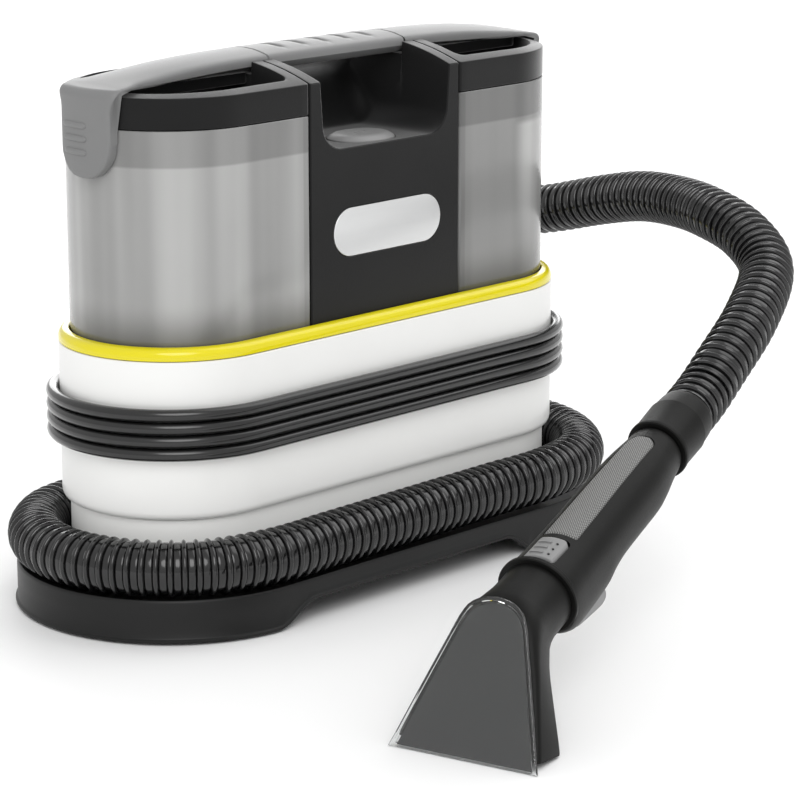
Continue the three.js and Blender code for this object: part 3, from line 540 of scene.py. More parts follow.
def standing(a, b, h):
    """An outline in x and z, deep in y."""
    return a, h, b


def sideways(a, b, h):
    """An outline in y and z, deep in x."""
    return h, a, b


def prism(outline, low, high, lift=lambda a, b, h: (a, b, h)):
    return skin([[lift(a, b, h) for a, b in outline] for h in (low, high)])


def full(value, power):
    """A cosine or sine filled out toward a square by power."""
    return math.copysign(abs(value) ** (2 / power), value)


def ease(t):
    t = min(1.0, max(0.0, t))
    return t * t * (3 - 2 * t)


def stadium_outline(half, radius, steps=24, x=0.0, y=0.0):
    """Two arcs and the straight sides between them."""
    return [(x + centre + radius * c, y + radius * s) for centre, c, s in stations(steps, 1, half)]


def oval(half_x, half_y, power=2.0, steps=64, x=0.0, y=0.0):
    turns = (2 * math.pi * i / steps for i in range(steps))
    return [(x + half_x * full(math.cos(a), power), y + half_y * full(math.sin(a), power)) for a in turns]


# ------------------------------------------------------------------ cords
def arc(centre_x, radius, start, end, steps):
    """Points round (centre_x, 0), from start to end in degrees."""
    turns = (math.radians(start + (end - start) * i / steps) for i in range(steps + 1))
    return [(centre_x + radius * math.cos(a), radius * math.sin(a)) for a in turns]


def hose_route():
    def lap_end(side, radius, start, end, from_z, to_z):
        flat = arc(side * END_X, radius, start, end, 6)
        return [(x, y, from_z + (to_z - from_z) * i / 6) for i, (x, y) in enumerate(flat)]
    return [
        (48.6, 71, 41), (64, 71, 41), (80, 71.6, 40.6),
        *lap_end(1, 72.4, 90, -90, 40, 37.4),
        (60, -71, 36.6), (20, -70.4, 36), (-20, -70.2, 35.5), (-60, -70.2, 35.1),
        *lap_end(-1, 70.2, 270, 90, 34.9, 35),
        (-66, 74.5, 38), (-34, 83.5, 44.5), (0, 94.5, 53), (34, 104.5, 63.5), (68, 113, 76.5), (102, 118, 92),
        (136, 117, 108), (168, 107, 122), (196, 88, 134), (214, 60, 142.5), (221, 30, 149), (220, -4.5, 158),
        (212.2, -40, 165.6), (200.6, -74.6, 168.6), (186.4, -106.2, 168.8), (175.4, -137.6, 163.4),
        (158, -166, 152.4), (118, -187.8, 136), (82, -197.4, 118.6),
        (66.4, -200.5, 109.9), (56.4, -203, 106), (47.1, -205.2, 103),
    ]


RIB_PITCH = 6.0
# Half a pitch of the hose's wall, how far along it and how far out: half a rib, a crease and half the flat
# band. The other half mirrors it.
HALF_RIB = [(0.0, 14.0), (0.45, 13.87), (0.85, 13.45), (1.13, 12.85), (1.28, 12.05), (1.45, 12.4),
            (1.75, 12.65), (2.4, 12.7)]
RIB = HALF_RIB + [(RIB_PITCH - along, radius) for along, radius in HALF_RIB[:0:-1]]


def make_hose():
    line = resample(smooth_line(hose_route(), 16), 3.0)
    total = distances(line)[-1]
    stops, radii = [], []
    for turn in range(int(total / RIB_PITCH) + 1):
        for along, radius in RIB:
            if turn * RIB_PITCH + along < total - 0.05:
                stops.append(turn * RIB_PITCH + along)
                radii.append(radius)
    radii[0] = radii[-1] = 12.8
    verts, faces = sweep(along_line(line, stops), radii, 40)
    made = piece("hose", verts, faces, "hose", angle=75, replaces=("suction_hose",), slot="hose")
    return made, line


def lead_route():
    """The lead's middle line: from the gland down to the waist, four turns, and the tail to the plug."""
    points = [(-26.4, LEAD_R, 114.1), (-40, LEAD_R, 114.1), (-58, LEAD_R, 113.6), (-78, LEAD_R, 110.2)]
    level = LEAD_TOP_Z
    stops = (72, 48, 24, 0, -24, -48, -72)
    for turn in range(LEAD_TURNS):
        points += [(x, y, level) for x, y in arc(-END_X, LEAD_R, 90, 270, 24)]
        points += [(x, -LEAD_R, level) for x in reversed(stops)]
        points += [(x, y, level) for x, y in arc(END_X, LEAD_R, -90, 90, 24)]
        if turn < LEAD_TURNS - 1:
            points += [(x, LEAD_R, level - LEAD_PITCH * (k / 8)) for k, x in enumerate(stops, 1)]
            level -= LEAD_PITCH
    tail = ((86, 61), (74, 64.3), (62, 68.4), (52, 70.6), *((x, PLUG_Y) for x in (44, 30, 15, -4)))
    return points + [(x, y, PLUG_Z) for x, y in tail]


def make_lead():
    line = resample(smooth_line(lead_route(), 4), 6.0)
    verts, faces = sweep(line, [3.12] * len(line), 16)
    made = piece("lead", verts, faces, "lead", angle=60, replaces=("lead_coil", "lead_start", "lead_end"),
                 slot="rubber")
    return made, line


# ------------------------------------------------------------------ machine
def make_gland():
    profile = [(0, 0.1), (0, 5.2), (6, 5.2), (7, 4.4), (9, 4.4)]
    for i in range(5):
        at, rib, dip = 10 + i * 5, i * 0.2, i * 0.1
        profile += [(at, 5.0 - rib), (at + 2.6, 4.9 - rib), (at + 3, 3.9 - dip), (at + 4.6, 3.9 - dip)]
    profile += [(34.2, 3.6), (34.2, 0.1)]
    verts, faces = turned(profile, (8, LEAD_R, 115), (-1, 0, -0.028), 24)
    # The boot is cut off flat where it meets the housing and the ledge under it.
    verts = [Vector((v[0], max(v[1], 56.95), max(v[2], 110.75))) for v in verts]
    base = prism(rounded_box(-1, 111.3, 12.5, 122, 2), 56.95, 59.0, standing)
    return piece("lead_gland_boot", *merge((verts, faces), base), "rubber", replaces=("lead_gland",),
                 slot="rubber")


def make_plug():
    y, z = PLUG_Y, PLUG_Z
    face = rounded([(-11, z - 5.4, 2), (-22, z - 15, 8), (-47, z - 17, 5), (-50.5, z, 20), (-47, z + 17, 5),
                    (-22, z + 15, 8), (-11, z + 5.4, 2)], 5)
    rows = [[(a + (-32 - a) * inset / 20, y + h, b + (z - b) * inset / 20) for a, b in face]
            for h, inset in ((-7.3, 1.6), (-6.9, 0.8), (-6.0, 0.2), (-5, 0), (5, 0), (6.0, 0.2), (6.9, 0.8),
                             (7.3, 1.6))]
    boot = turned([(0, 0.1), (0, 3.9), (1, 4.1), (7, 5.1), (10, 5.4), (10, 0.1)], (-4.4, y, z), AWAY_X, 24)
    pins = [turned([(0, 0.1), (0, 2.2), (20.5, 2.2), (22, 1.8), (22.9, 0.9), (23, 0.1)],
                   (-46, y, z + rise), AWAY_X, 20) for rise in (-9.5, 9.5)]
    body = piece("plug_body", *merge(skin(rows), boot), "rubber", replaces=("mains_plug",),
                 slot="black_plastic")
    tips = piece("plug_pins", *merge(*pins), "steel", slot="steel")
    return body, tips


def make_clip():
    ring = turned([(0, 3.55), (0, 6.0), (0.5, 6.4), (11.5, 6.4), (12, 6.0), (12, 3.55), (0, 3.55)],
                  (18, PLUG_Y, PLUG_Z), TOWARD_X, 32, caps=False)
    strap = prism(rounded([(63.75, 91.5, 0.3), (66, 92.4, 0.3), (66, 112.4, 1.2), (57.4, 112.4, 0.5),
                           (57.4, 110.95, 0.5), (63.75, 110.95, 0.8)]), 18, 30, sideways)
    return piece("lead_hook", *merge(ring, strap), "black", replaces=("lead_clip",), slot="black_plastic")


def arch(x):
    """Height of the tray's lower edge on its long sides."""
    return 10.6 * ease((x + 104.0) / 24.0) * ease((80.0 - x) / 22.0)


def make_tray():
    rows = []
    for centre, c, s in stations(48, 96):
        lift = arch(centre + TRAY_R * c) if abs(c) < 0.35 else 0.0
        low = 1.0 + lift
        section = [(1.0, low + 0.3), (1.2, low + 0.8), (1.1, low + 1.5), (0.4, low + 2.0), (0, low + 2.5),
                   (0, 13.0 + lift * 0.3), (0, 20.6), (-0.25, 21.5), (-0.8, 22.0), (-1.8, 22.0), (-2.4, 21.6),
                   (-2.8, 20.9), (-3.6, 20.4), (-36.0, 20.4), (-36.0, 18.0), (-2.5, 17.8), (-2.4, low)]
        rows.append([(centre + (TRAY_R + out) * c, (TRAY_R + out) * s, z) for out, z in section])
    posts = [turned([(0, 0.1), (0, 7.6), (0.4, 8), (15, 8), (15, 0.1)], (x, y, 3.4), UP, 32)
             for x in (-150, 150) for y in (-38, 38)]
    piece("tray", *merge(skin(rows, ring=True), *posts), "tray", angle=40, replaces=("base_tray",),
          slot="black_plastic")
    for word, x, y in FEET:
        foot = turned([(0, 0.1), (0, 6.2), (0.5, 7.0), (2.5, 7.6), (3.1, 7.6), (3.1, 0.1)], (x, y, 0), UP, 40)
        piece(f"pad_{word}", *foot, "rubber", replaces=(f"foot_{word}",), slot="rubber")


def make_cover():
    outline = [(END_X if x > 0 else -END_X, x, y) for x, y in stadium_outline(END_X, 1.0, 36)]
    rows = [[(end + (x - end) * r, y * r, z) for end, x, y in outline]
            for r, z in ((43.6, 4.4), (43.6, 17.0), (44.0, 17.4), (45.6, 17.4), (46, 17.0), (46, 2.6),
                         (45.4, 2.0))]
    screws = [turned([(0, 0.1), (0, 2.2), (0.5, 3.6), (0.9, 3.8), (0.9, 0.1)], (x, y, 1.55), UP, 24)
              for x in (-110, 0, 110) for y in (-32, 32)]
    piece("underside_cover", *skin(rows), "tray", replaces=("bottom_cover",), slot="black_plastic")
    piece("cover_screws", *merge(*screws), "steel", slot="steel")


def make_housings():
    low = PLINTH_R - 2.5
    plinth = rounded([(PLINTH_R, 20.9, 0.6), (PLINTH_R, 53.6, 0.3), (low, 53.6, 0), (low, 24, 0), (38, 24, 0),
                      (38, 20.9, 0)])
    piece("plinth", *hoop(plinth), "plinth", replaces=("lower_housing",), slot="pale_grey")
    wall = ((-3.0, 54.1), (-1.9, 54.4), (-0.9, 55.2), (-0.3, 56.4), (0, 58.0), (0, 84.0), (0, 110.0),
            (0, 131.6), (-0.4, 132.1), (-2.4, 132.1), (-2.4, 56.6), (-8.6, 56.6), (-8.6, 54.1))
    wall = [(BODY_R + out, z) for out, z in wall]
    housing = piece("white_housing", *hoop(wall, 48, 10), "white", replaces=("main_housing",), slot="white")
    slots = [prism(rounded_box(x, 62, x + 2.6, 80, 1.2), 50, 60, standing) for x in range(-84, -36, 6)]
    carve(housing, merge(*slots))
    ring = [(BODY_R, 132.7), (BODY_R + 0.02, 134.4), (BODY_R - 0.25, 135.8), (BODY_R - 0.9, 136.9),
            (BODY_R - 2.0, 137.9), (BODY_R - 3.2, 138.3), (TANK_R + 1.0, 138.4), (TANK_R + 0.5, 138.0),
            (TANK_R + 0.5, 131.3), (BODY_R - 2.95, 131.3), (BODY_R - 2.95, 132.5), (BODY_R - 0.3, 132.5)]
    piece("yellow_ring", *hoop(ring, 48, 10), "yellow", replaces=("trim_ring",), slot="yellow")


def crown(x, y):
    off = math.hypot(max(0.0, abs(x) - END_X), y) / TANK_R
    fall = 1 - 0.45 * max(0.0, (abs(x) - 60) / 87) ** 1.5
    return EDGE_Z + CROWN * fall * (1 - off * off)


def rim_height(x, y):
    """Top of lids and column, with the bed that the bars lie in."""
    top = crown(x, y)
    return min(top, BAR_BED_Z) if abs(y) < BAR_HALF + 0.45 else top


def dplan(side, near, radius, corner):
    """A tank's outline, flat towards the column at near and round at the far end, always with the same
    number of points."""
    reach, mid, bend = radius - corner, near + corner, END_X - near - corner
    out = [(x, y - reach) for x, y in arc(mid, corner, -180, -90, 6)]
    out += [(mid + bend * i / 10, -radius) for i in range(1, 10)]
    out += arc(END_X, radius, -90, 90, 44)
    out += [(END_X - bend * i / 10, radius) for i in range(1, 10)]
    out += [(x, y + reach) for x, y in arc(mid, corner, 90, 180, 6)]
    inner = BAR_HALF + 0.35
    flat = [inner + 0.2 + (reach - inner - 0.2) * f for f in (0.75, 0.5, 0.25, 0.0)] + [inner, 8.0]
    out += [(near, y) for y in flat + [0.0] + [-y for y in reversed(flat)]]
    return [(side * x, y) for x, y in out]


def make_tank(side, word):
    loops = []
    for inset, z, corner in ((1.4, 131.8, 1.0), (0.5, 132.2, 1.2), (0.0, 133.4, 1.4), (0.0, 170.0, 1.4),
                             (0.0, 200.0, 1.4), (0.0, 240.3, 1.4), (0.3, 240.7, 1.2), (1.6, 240.7, 1.0),
                             (1.9, 240.3, 1.0), (1.9, 200.0, 1.0), (1.9, 170.0, 1.0), (1.9, 136.0, 1.0),
                             (3.2, 134.2, 1.0)):
        loops.append([(x, y, z) for x, y in dplan(side, TANK_NEAR + inset, TANK_R - inset, corner)])
    piece(f"{word}_vessel", *skin(loops), f"{word}_smoke", body=f"{word}_tank_body",
          replaces=(f"{word}_tank",), slot="smoke")


def make_lid(side, word):
    """The lid as one skin of loops (inset, corner radius, height): the skirt and wall from below, the rim at
    a fall under the crown, and the inside. The skirt's hollow closes on the first loop."""
    rim = 6.6
    walls = ((4.9, 1.0, 224.2), (4.9, 1.0, 223.7), (2.7, 1.4, 223.7), (2.4, 1.4, 224.2), (2.4, 1.4, 241.25),
             (0.3, 1.4, 241.25), (0.0, 1.6, 241.6), (0.0, 1.6, 249.0))
    crowned = ((0.0, 1.6, 0.5), (0.06, 1.6, 0.22), (0.2, 1.6, 0.06), (0.45, 1.7, 0.0), (0.9, 1.9, 0.0),
               (3.4, 2.6, -0.05), (rim - 0.9, 4.2, 0.0), (rim - 0.45, 4.6, 0.0), (rim - 0.12, 4.9, 0.12),
               (rim, 5.0, 0.5))
    inside = ((rim + 0.3, 5.0, 246.0), (rim + 0.9, 5.0, 230.0), (rim + 1.6, 5.0, 227.0),
              (rim + 4.0, 5.0, 226.2))

    def plan(inset, corner):
        return dplan(side, TANK_NEAR + inset, TANK_R - inset, corner)

    loops = [[(x, y, z) for x, y in plan(inset, corner)] for inset, corner, z in walls]
    loops += [[(x, y, rim_height(x, y) - fall) for x, y in plan(inset, corner)]
              for inset, corner, fall in crowned]
    loops += [[(x, y, z) for x, y in plan(inset, corner)] for inset, corner, z in inside]
    made = skin(loops)
    if word == "dirt":
        float_stem = turned([(0, 0.1), (0, 5.6), (2.6, 5.6), (2.6, 2.8), (55, 2.8), (55, 0.1)], (76, 24, 172),
                            UP, 24)
        made = merge(made, float_stem)
    piece(f"{word}_cap", *made, "charcoal", angle=38, body=f"{word}_lid_body", replaces=(f"{word}_lid",),
          slot="charcoal")


# Half of the bar's section: how far out, and the height against its crown.
BAR_SECTION = [(17.2, -6.4), (17.25, -5.2), (17.2, -4.1), (17.0, -3.3), (16.5, -2.7), (15.6, -2.25),
               (13.4, -1.7), (10.0, -0.95), (6.0, -0.35), (0.0, 0.0)]


def bar_fall(x):
    return min(9.3, 9.0 * (abs(x) / 147.0) ** 4)


def bar_loop(x, dip, shrink):
    """The bar's section at x, with a groove of depth dip across its crown."""
    top = BAR_TOP_Z - bar_fall(x) - shrink
    squeeze = min(1.0, (top - BAR_LOW_Z - 0.4) / 6.4)
    half = [(x, y * (1 - shrink / BAR_HALF), top + z * squeeze - dip * max(0.0, 1 - (y / 9.4) ** 2))
            for y, z in BAR_SECTION]
    return [(x, -12.5, BAR_LOW_Z), (x, 12.5, BAR_LOW_Z), *half, *((x, -y, z) for x, y, z in half[-2::-1])]


def make_carry_bar():
    centres = [-30.4 + 15.2 * i for i in range(5)]
    xs = {-47.25, -46.8, 46.8, 47.25}
    xs.update(-45 + 5 * i for i in range(19))
    for centre in centres:
        xs.update(round(centre + d, 3) for d in (-1.9, -1.5, -1.2, -0.9, -0.5, 0, 0.4, 0.8, 1.2, 1.6, 1.9))
    rows = []
    for x in sorted(xs):
        near = min(abs(x - c) for c in centres)
        dip = max(0.0, 1 - (near / 1.8) ** 2) * 1.5
        rows.append(bar_loop(x, dip, 0.4 if abs(x) > 47 else 0.0))
    piece("carry_bar", *skin(rows), "mid_grey", angle=40, replaces=("carry_handle",), slot="mid_grey")


def tab_outline(y):
    """Lower edge of the latch tab at y across it."""
    t = min(1.0, abs(y) / 17.0)
    return 217.0 + 17.0 * (1 - math.sqrt(max(0.0, 1 - t ** 2.6)))


def tab_ribs(side):
    """Three ribs with rounded ends across a latch tab."""
    ribs = []
    for z in (RIB_TOP_Z, 235.8, 229.4):
        first, last = -4.0, 14.2 - (RIB_TOP_Z - z) * 0.09
        middle, half = (first + last) / 2, (last - first) / 2
        rib = []
        for k in range(25):
            y = middle - half + 2 * half * k / 24
            thick = math.sqrt(max(0.0, 1 - (abs(y - middle) / half) ** 8))
            face = END_X + math.sqrt(TAB_R ** 2 - y ** 2)
            rib.append([(side * (face - 0.15 + 1.05 * thick * math.cos(a)), y,
                         z + 1.6 * max(0.05, thick) * math.sin(a))
                        for a in (2 * math.pi * j / 12 for j in range(12))])
        ribs.append(skin(rib))
    return ribs


def bar_line(y, drop):
    """A line of (x, z) along the bar at y: over its top, down the tab and back along the underside."""
    edge = 1.0 - min(1.0, (17.25 - abs(y)) / 1.4)
    low = tab_outline(y)
    outside = END_X + math.sqrt((TAB_R - 1.1 * edge ** 2) ** 2 - y ** 2)
    inside = END_X + math.sqrt(TAB_IN_R ** 2 - y ** 2)

    def height(x):
        top = BAR_TOP_Z - bar_fall(x)
        return top + drop * min(1.0, max(0.12, (top - BAR_LOW_Z - 0.4) / 6.4))

    start = outside - TAB_ROLL
    line = []
    for x in (48.0, 48.4, 54, 60, 68, 76, 84, 92, 100, 108, 116, 122, 127, 131, 134, 137, 140, 143):
        line.append((min(x, start - 0.4), height(x) - (0.4 if x < 48.2 else 0.0)))
    high = height(start)
    foot = high - TAB_ROLL
    for k in range(10):
        a = math.radians(10 * k)
        line.append((start + TAB_ROLL * math.sin(a), high - TAB_ROLL * (1 - math.cos(a))))
    line += [(outside, foot + (low + 3.0 - foot) * k / 8) for k in range(1, 9)]
    line += [(outside, low + 1.5), (outside - 0.3, low + 0.5), (outside - 1.2, low), (inside + 1.0, low),
             (inside, low + 0.5), (inside, 240.0), (inside, 257.0)]
    for x in (137, 131, 122, 108, 92, 76, 60, 48.4, 48.0):
        skinned = height(x) - 0.25
        under = min(BAR_LOW_Z, skinned) if abs(y) < 13 else skinned
        line.append((min(x, inside), under + (0.1 if x < 48.2 else 0.0)))
    return line, inside


def make_tank_bar(side, word):
    """The bar's end over a lid and the latch tab it rolls over into, as one skin laid across the bar."""
    section = [(-y, z) for y, z in BAR_SECTION] + BAR_SECTION[-2::-1]
    grid = []
    for y, drop in section:
        line, inside = bar_line(y, drop)
        bent = []
        for x, z in line:
            bend = ease((x - 130) / 12)
            wide = 1 + FLARE * bend * ease((z - 250) / 8)
            shift = 0.0
            if x > inside - 1:
                shift = math.sqrt(TAB_R ** 2 - y ** 2) - math.sqrt(TAB_R ** 2 - (y * wide) ** 2)
            bent.append((side * (x - shift * bend), y * wide, z))
        grid.append(bent)
    piece(f"{word}_bar", *merge(skin(grid), *tab_ribs(side)), "mid_grey", angle=42, body=f"{word}_lid_body",
          replaces=(f"{word}_handle",), slot="mid_grey")
    web = [[(side * x, y, z) for x, y in rounded_box(58 + inset, -14.2 + inset, 136, 14.2 - inset, 3, 5)]
           for z, inset in ((253.4, 0.6), (253.9, 0.1), (254.4, 0.0), (258.9, 0.0))]
    piece(f"{word}_bar_web", *skin(web), "charcoal", body=f"{word}_lid_body", slot="mid_grey")


def recess_floor(y):
    """Height of the hand recess's floor: flat round the button, rising to the back."""
    return RECESS_Z + 27.0 * ease((y + 2.0) / 30.0) + 8.6 * ease((y - 26.0) / 12.0)


def column_row(y):
    """The column's section at y: the right half from the foot up, over the rim and down into the recess, and
    its mirror image."""
    lip = max(0.0, abs(y) - TANK_R + 0.5)
    front_lip = lip if y < 0 else 0.0
    side = SEAM_X - 0.35
    wall = side - lip
    rim = rim_height(RIM_IN_X, y) - lip
    low = min(recess_floor(y), rim - 0.05)
    outer = [(wall, z) for z in (131.5, 160, 200, 240, rim - 0.5)]
    outer += [(wall - 0.06, rim - 0.22), (wall - 0.2, rim - 0.06), (wall - 0.45, rim), (side - 1.5, rim)]
    share = min(1.0, (rim - low) / 17.0)
    fall, run = 13.0 * share, 13.5 * share
    mouth = RIM_IN_X + front_lip
    foot_x = mouth - 1.5 * share
    inner = [(mouth + 0.9, rim), (mouth + 0.4, rim), (mouth + 0.1, rim - 0.12 * share),
             (mouth, rim - 0.5 * share)]
    for i in range(1, 6):
        t = i / 6
        inner.append((mouth + (foot_x - mouth) * t,
                      rim - 0.5 * share + (low + fall - rim + 0.5 * share) * t))
    for k in range(10):
        a = math.radians(10 * k)
        inner.append((foot_x - run * (1 - math.cos(a)), low + fall * (1 - math.sin(a))))
    inner = [(x, z - front_lip if z < rim - 1 else z) for x, z in inner]
    inner += [((foot_x - run) * t, low - front_lip)
              for t in (0.92, 0.84, 0.77, 0.72, 0.68, 0.62, 0.54, 0.44, 0.33, 0.22, 0.1, 0.0)]
    if y > RECESS_BACK:
        inner = [(x, rim) for x, z in inner]
    right = outer + inner
    return [(x, y, z) for x, z in right] + [(-x, y, z) for x, z in reversed(right[:-1])]


def make_column():
    front = [-50.7, -50.2, -49.9, -49.4, -48.8, -48.2, -47.6, -47, -46, -44, -40, -36, -32, -28, -24, -20,
             -17.85, -17.6, -14, -12, -10, -8, -6, -4, -2, -1, -0.4, -0.001]
    back = [0.001, 0.4, 1, *range(2, 17, 2), 17.6, 17.85, *range(20, 39, 2), 39.9, 40.1, 44, 48, 49.9, 50.2,
            50.7]
    shell = piece("column_shell_front", *skin([column_row(y) for y in front]), "charcoal", angle=34,
                  replaces=("column_front",), slot="charcoal")
    piece("column_shell_back", *skin([column_row(y) for y in back]), "charcoal", angle=34,
          replaces=("column_back",), slot="charcoal")
    x, z = BADGE_AT
    carve(shell, prism(oval(18.9, 15.4, BUTTON_POWER, 64, 0, BUTTON_Y), 212, 240),
          prism(stadium_outline(25.65, 12.45, 24, x, z), -60, -49.75, standing))
    face = stadium_outline(25.65, 11.95, 24, x, z)
    rows = [[(x + (a - x) * (1 - inset / 38), y, z + (b - z) * (1 - inset / 12)) for a, b in face]
            for y, inset in ((-50.1, 0), (-50.75, 0), (-50.9, 0.12), (-50.98, 0.4))]
    piece("badge_face", *skin(rows), "badge", replaces=("badge_plate",), slot="steel")


def make_power_button():
    rows = [[(x, y, z) for x, y in oval(18.1 - inset, 14.6 - inset * 0.95, BUTTON_POWER, 64, 0, BUTTON_Y)]
            for z, inset in ((218.9, 0), (222.3, 0), (222.9, 0.15), (223.6, 0.9), (224.3, 2.0), (224.8, 3.1),
                             (225.1, 4.2), (225.25, 5.6), (225.3, 8.0), (225.3, 11.0))]
    marks = [prism(rounded_box(x - 1.2, BUTTON_Y - 0.35, x + 1.2, BUTTON_Y + 0.35, 0.2), 225.2, 225.5)
             for x in (-3.4, 0, 3.4)]
    piece("power_cap", *merge(skin(rows), *marks), "pale_grey", angle=25, body="power_button",
          replaces=("power_button",), slot="mid_grey")


def make_socket():
    body = turned([(0, 0.1), (0, 15.8), (0.9, 16.8), (14, 17), (24, 16.2), (25.4, 15.6), (26, 14.6),
                   (26, 12.4), (20, 12.2), (3, 12.0), (3, 0.1)], (22, 71, 41), TOWARD_X, 48)
    block = prism(rounded_box(24.2, 30, 44, 51, 2), 52.95, 60, standing)
    piece("socket", *merge(body, block), "black", replaces=("hose_socket",), slot="black_plastic")


# ------------------------------------------------------------------ hand tool
TOOL = Matrix.Translation(TOOL_AT) @ Matrix.Rotation(TOOL_TURN, 4, "Z")
HANDLE = TOOL @ Matrix.Translation(HANDLE_AT) @ Matrix.Rotation(-HANDLE_TILT, 4, "Y")
WINDOW = TOOL @ Matrix(((0, math.cos(WINDOW_TILT), -math.sin(WINDOW_TILT), 0), (-1, 0, 0, 0),
                        (0, math.sin(WINDOW_TILT), math.cos(WINDOW_TILT), 0), (0, 0, 0, 1)))


def face_half(v):
    """Half width of the nozzle's face at v up its slope."""
    table = [(0, 36.2), (10, 33.0), (20, 29.8), (30, 26.6), (40, 23.3), (50, 20.0), (60, 16.7), (64, 15.0),
             (67, 13.2), (69, 11.0), (70.6, 8.0), (71.6, 4.6), (72, 0.0)]
    for (a, fa), (b, fb) in zip(table, table[1:]):
        if v <= b:
            return fa + (fb - fa) * (v - a) / (b - a)
    return 0.0


def face_outline(inset, bottom=0.0):
    right = []
    for t in (0, 0.08, 0.16, 0.25, 0.35, 0.45, 0.55, 0.65, 0.74, 0.81, 0.86, 0.90, 0.93, 0.955, 0.975, 0.99,
              0.998):
        v = bottom + inset + (WINDOW_TOP - 2 * inset - bottom) * t
        near_top = max(0.0, (v - 58.0 + inset) / 14.0)
        right.append((max(0.6, face_half(min(WINDOW_TOP, v + inset * near_top ** 2)) - inset), v))
    return right + [(-a, b) for a, b in reversed(right)]


def nozzle_section(front, back, half, power):
    """A loop between two points (x, z) of the nozzle's side view, half as wide as half says."""
    front, back = Vector(front), Vector(back)
    middle, reach = (front + back) / 2, (front - back) / 2
    loop = []
    for i in range(48):
        a = 2 * math.pi * i / 48
        spot = middle + reach * full(math.cos(a), power)
        loop.append((spot.x, half * full(math.sin(a), power), spot.y))
    return loop


def make_nozzle():
    sections = [
        ((62.7, 70.6), (73.0, 38.2), 17.0, 2.0), ((56.0, 68.5), (66.6, 36.2), 16.9, 2.0),
        ((48.6, 66.2), (60.0, 34.6), 17.0, 2.1), ((41.0, 64.0), (55.4, 33.4), 17.4, 2.4),
        ((35.0, 61.4), (51.6, 32.4), 18.2, 3.0), ((31.2, 56.4), (48.0, 31.0), 19.6, 3.8),
        ((28.0, 50.2), (44.6, 29.2), 21.0, 4.8), ((24.6, 43.0), (41.0, 26.8), 23.0, 6.0),
        ((20.6, 34.6), (37.4, 22.6), 25.6, 7.5), ((16.0, 25.6), (34.2, 17.0), 28.3, 9.0),
        ((11.6, 16.6), (31.4, 11.2), 30.9, 10.0), ((7.8, 8.8), (29.0, 5.6), 33.2, 11.0),
        ((5.8, 4.6), (27.6, 1.5), 34.4, 12.0), ((5.4, 3.8), (27.3, 0.75), 34.4, 12.0),
        ((7.2, 3.8), (25.3, 0.75), 32.4, 12.0), ((9.6, 8.8), (27.0, 5.6), 31.2, 11.0),
        ((16.0, 22.0), (32.0, 14.0), 26.0, 8.0), ((24.0, 38.0), (36.0, 24.0), 21.0, 6.0)]
    rows = [nozzle_section(*s) for s in sections]
    piece("nozzle_shell", *skin(rows), "tool_black", angle=50, body="nozzle", replaces=("nozzle_body",),
          slot="charcoal", at=TOOL)
    plane = [[(a, b, h) for a, b in face_outline(2.9, bottom=-1.1)] for h in (-3.4, -2.2)]
    piece("nozzle_panel", *skin(plane), "nozzle_plane", body="nozzle", slot="charcoal", at=WINDOW)
    rows = [[(a, b + (0.7 if b < 0.8 else 0), h) for a, b in face_outline(inset)]
            for h, inset in ((-2.1, 0.25), (-1.9, 0.0), (-0.5, 0.0), (-0.15, 0.15), (0.0, 0.5), (0.0, 1.5),
                             (-0.5, 1.8), (-0.5, 2.4), (-0.1, 2.8), (-0.1, 3.6))]
    piece("nozzle_cover", *skin(rows), "clear", angle=30, body="nozzle", replaces=("nozzle_window",),
          slot="smoke", at=WINDOW)


# Along the handle: half its width, its height above the axis and its depth below it.
HANDLE_SECTIONS = [
    (0.0, 18.4, 17.4, 19.4), (3.0, 18.6, 17.2, 21.4), (8.0, 18.4, 16.9, 23.8), (14.0, 18.0, 16.5, 24.6),
    (28.0, 17.4, 16.0, 24.8), (41.0, 17.1, 15.8, 23.6), (48.0, 16.9, 15.7, 20.4), (56.0, 16.8, 15.7, 18.4),
    (66.0, 16.7, 15.6, 17.9), (80.0, 16.6, 15.4, 17.9), (96.0, 16.2, 15.0, 18.2), (106.0, 15.4, 14.6, 16.8),
    (115.0, 14.3, 14.0, 14.6), (124.5, 13.4, 13.4, 13.4)]


def handle_at(x):
    """The handle's sizes at x, on a smooth line through the sections."""
    table, last = HANDLE_SECTIONS, len(HANDLE_SECTIONS) - 1
    for i in range(last):
        if x <= table[i + 1][0] + 1e-9:
            t = (x - table[i][0]) / (table[i + 1][0] - table[i][0])
            around = (table[max(0, i - 1)], table[i], table[i + 1], table[min(last, i + 2)])
            return [0.5 * (2 * p1 + (p2 - p0) * t + (2 * p0 - 5 * p1 + 4 * p2 - p3) * t * t
                           + (3 * p1 - p0 - 3 * p2 + p3) * t ** 3)
                    for p0, p1, p2, p3 in list(zip(*around))[1:]]
    return list(table[last][1:])


def handle_loop(x, inset=0.0, sides=56):
    half, above, below = handle_at(min(max(x, 0.0), HANDLE_END))
    power = 2.5 - 0.5 * min(1.0, max(0.0, (x - 100.0) / 24.5))
    loop = []
    for k in range(sides):
        a = 2 * math.pi * k / sides + math.pi / sides
        c, s = math.cos(a), math.sin(a)
        if s > 0:
            loop.append((x, (half - inset) * c, (above - inset) * s))
        else:
            loop.append((x, (half - inset) * full(c, power), (below - inset) * full(s, power)))
    return loop


def top_of_handle(x, y):
    half, above, _ = handle_at(x)
    return above * math.sqrt(max(0.0, 1 - (y / half) ** 2))


def on_handle(outline, low, high):
    """A patch that follows the handle's top: outline in (x, y), raised from low to high above the surface."""
    return skin([[(x, y, top_of_handle(x, y) + h) for x, y in outline] for h in (low, high)])


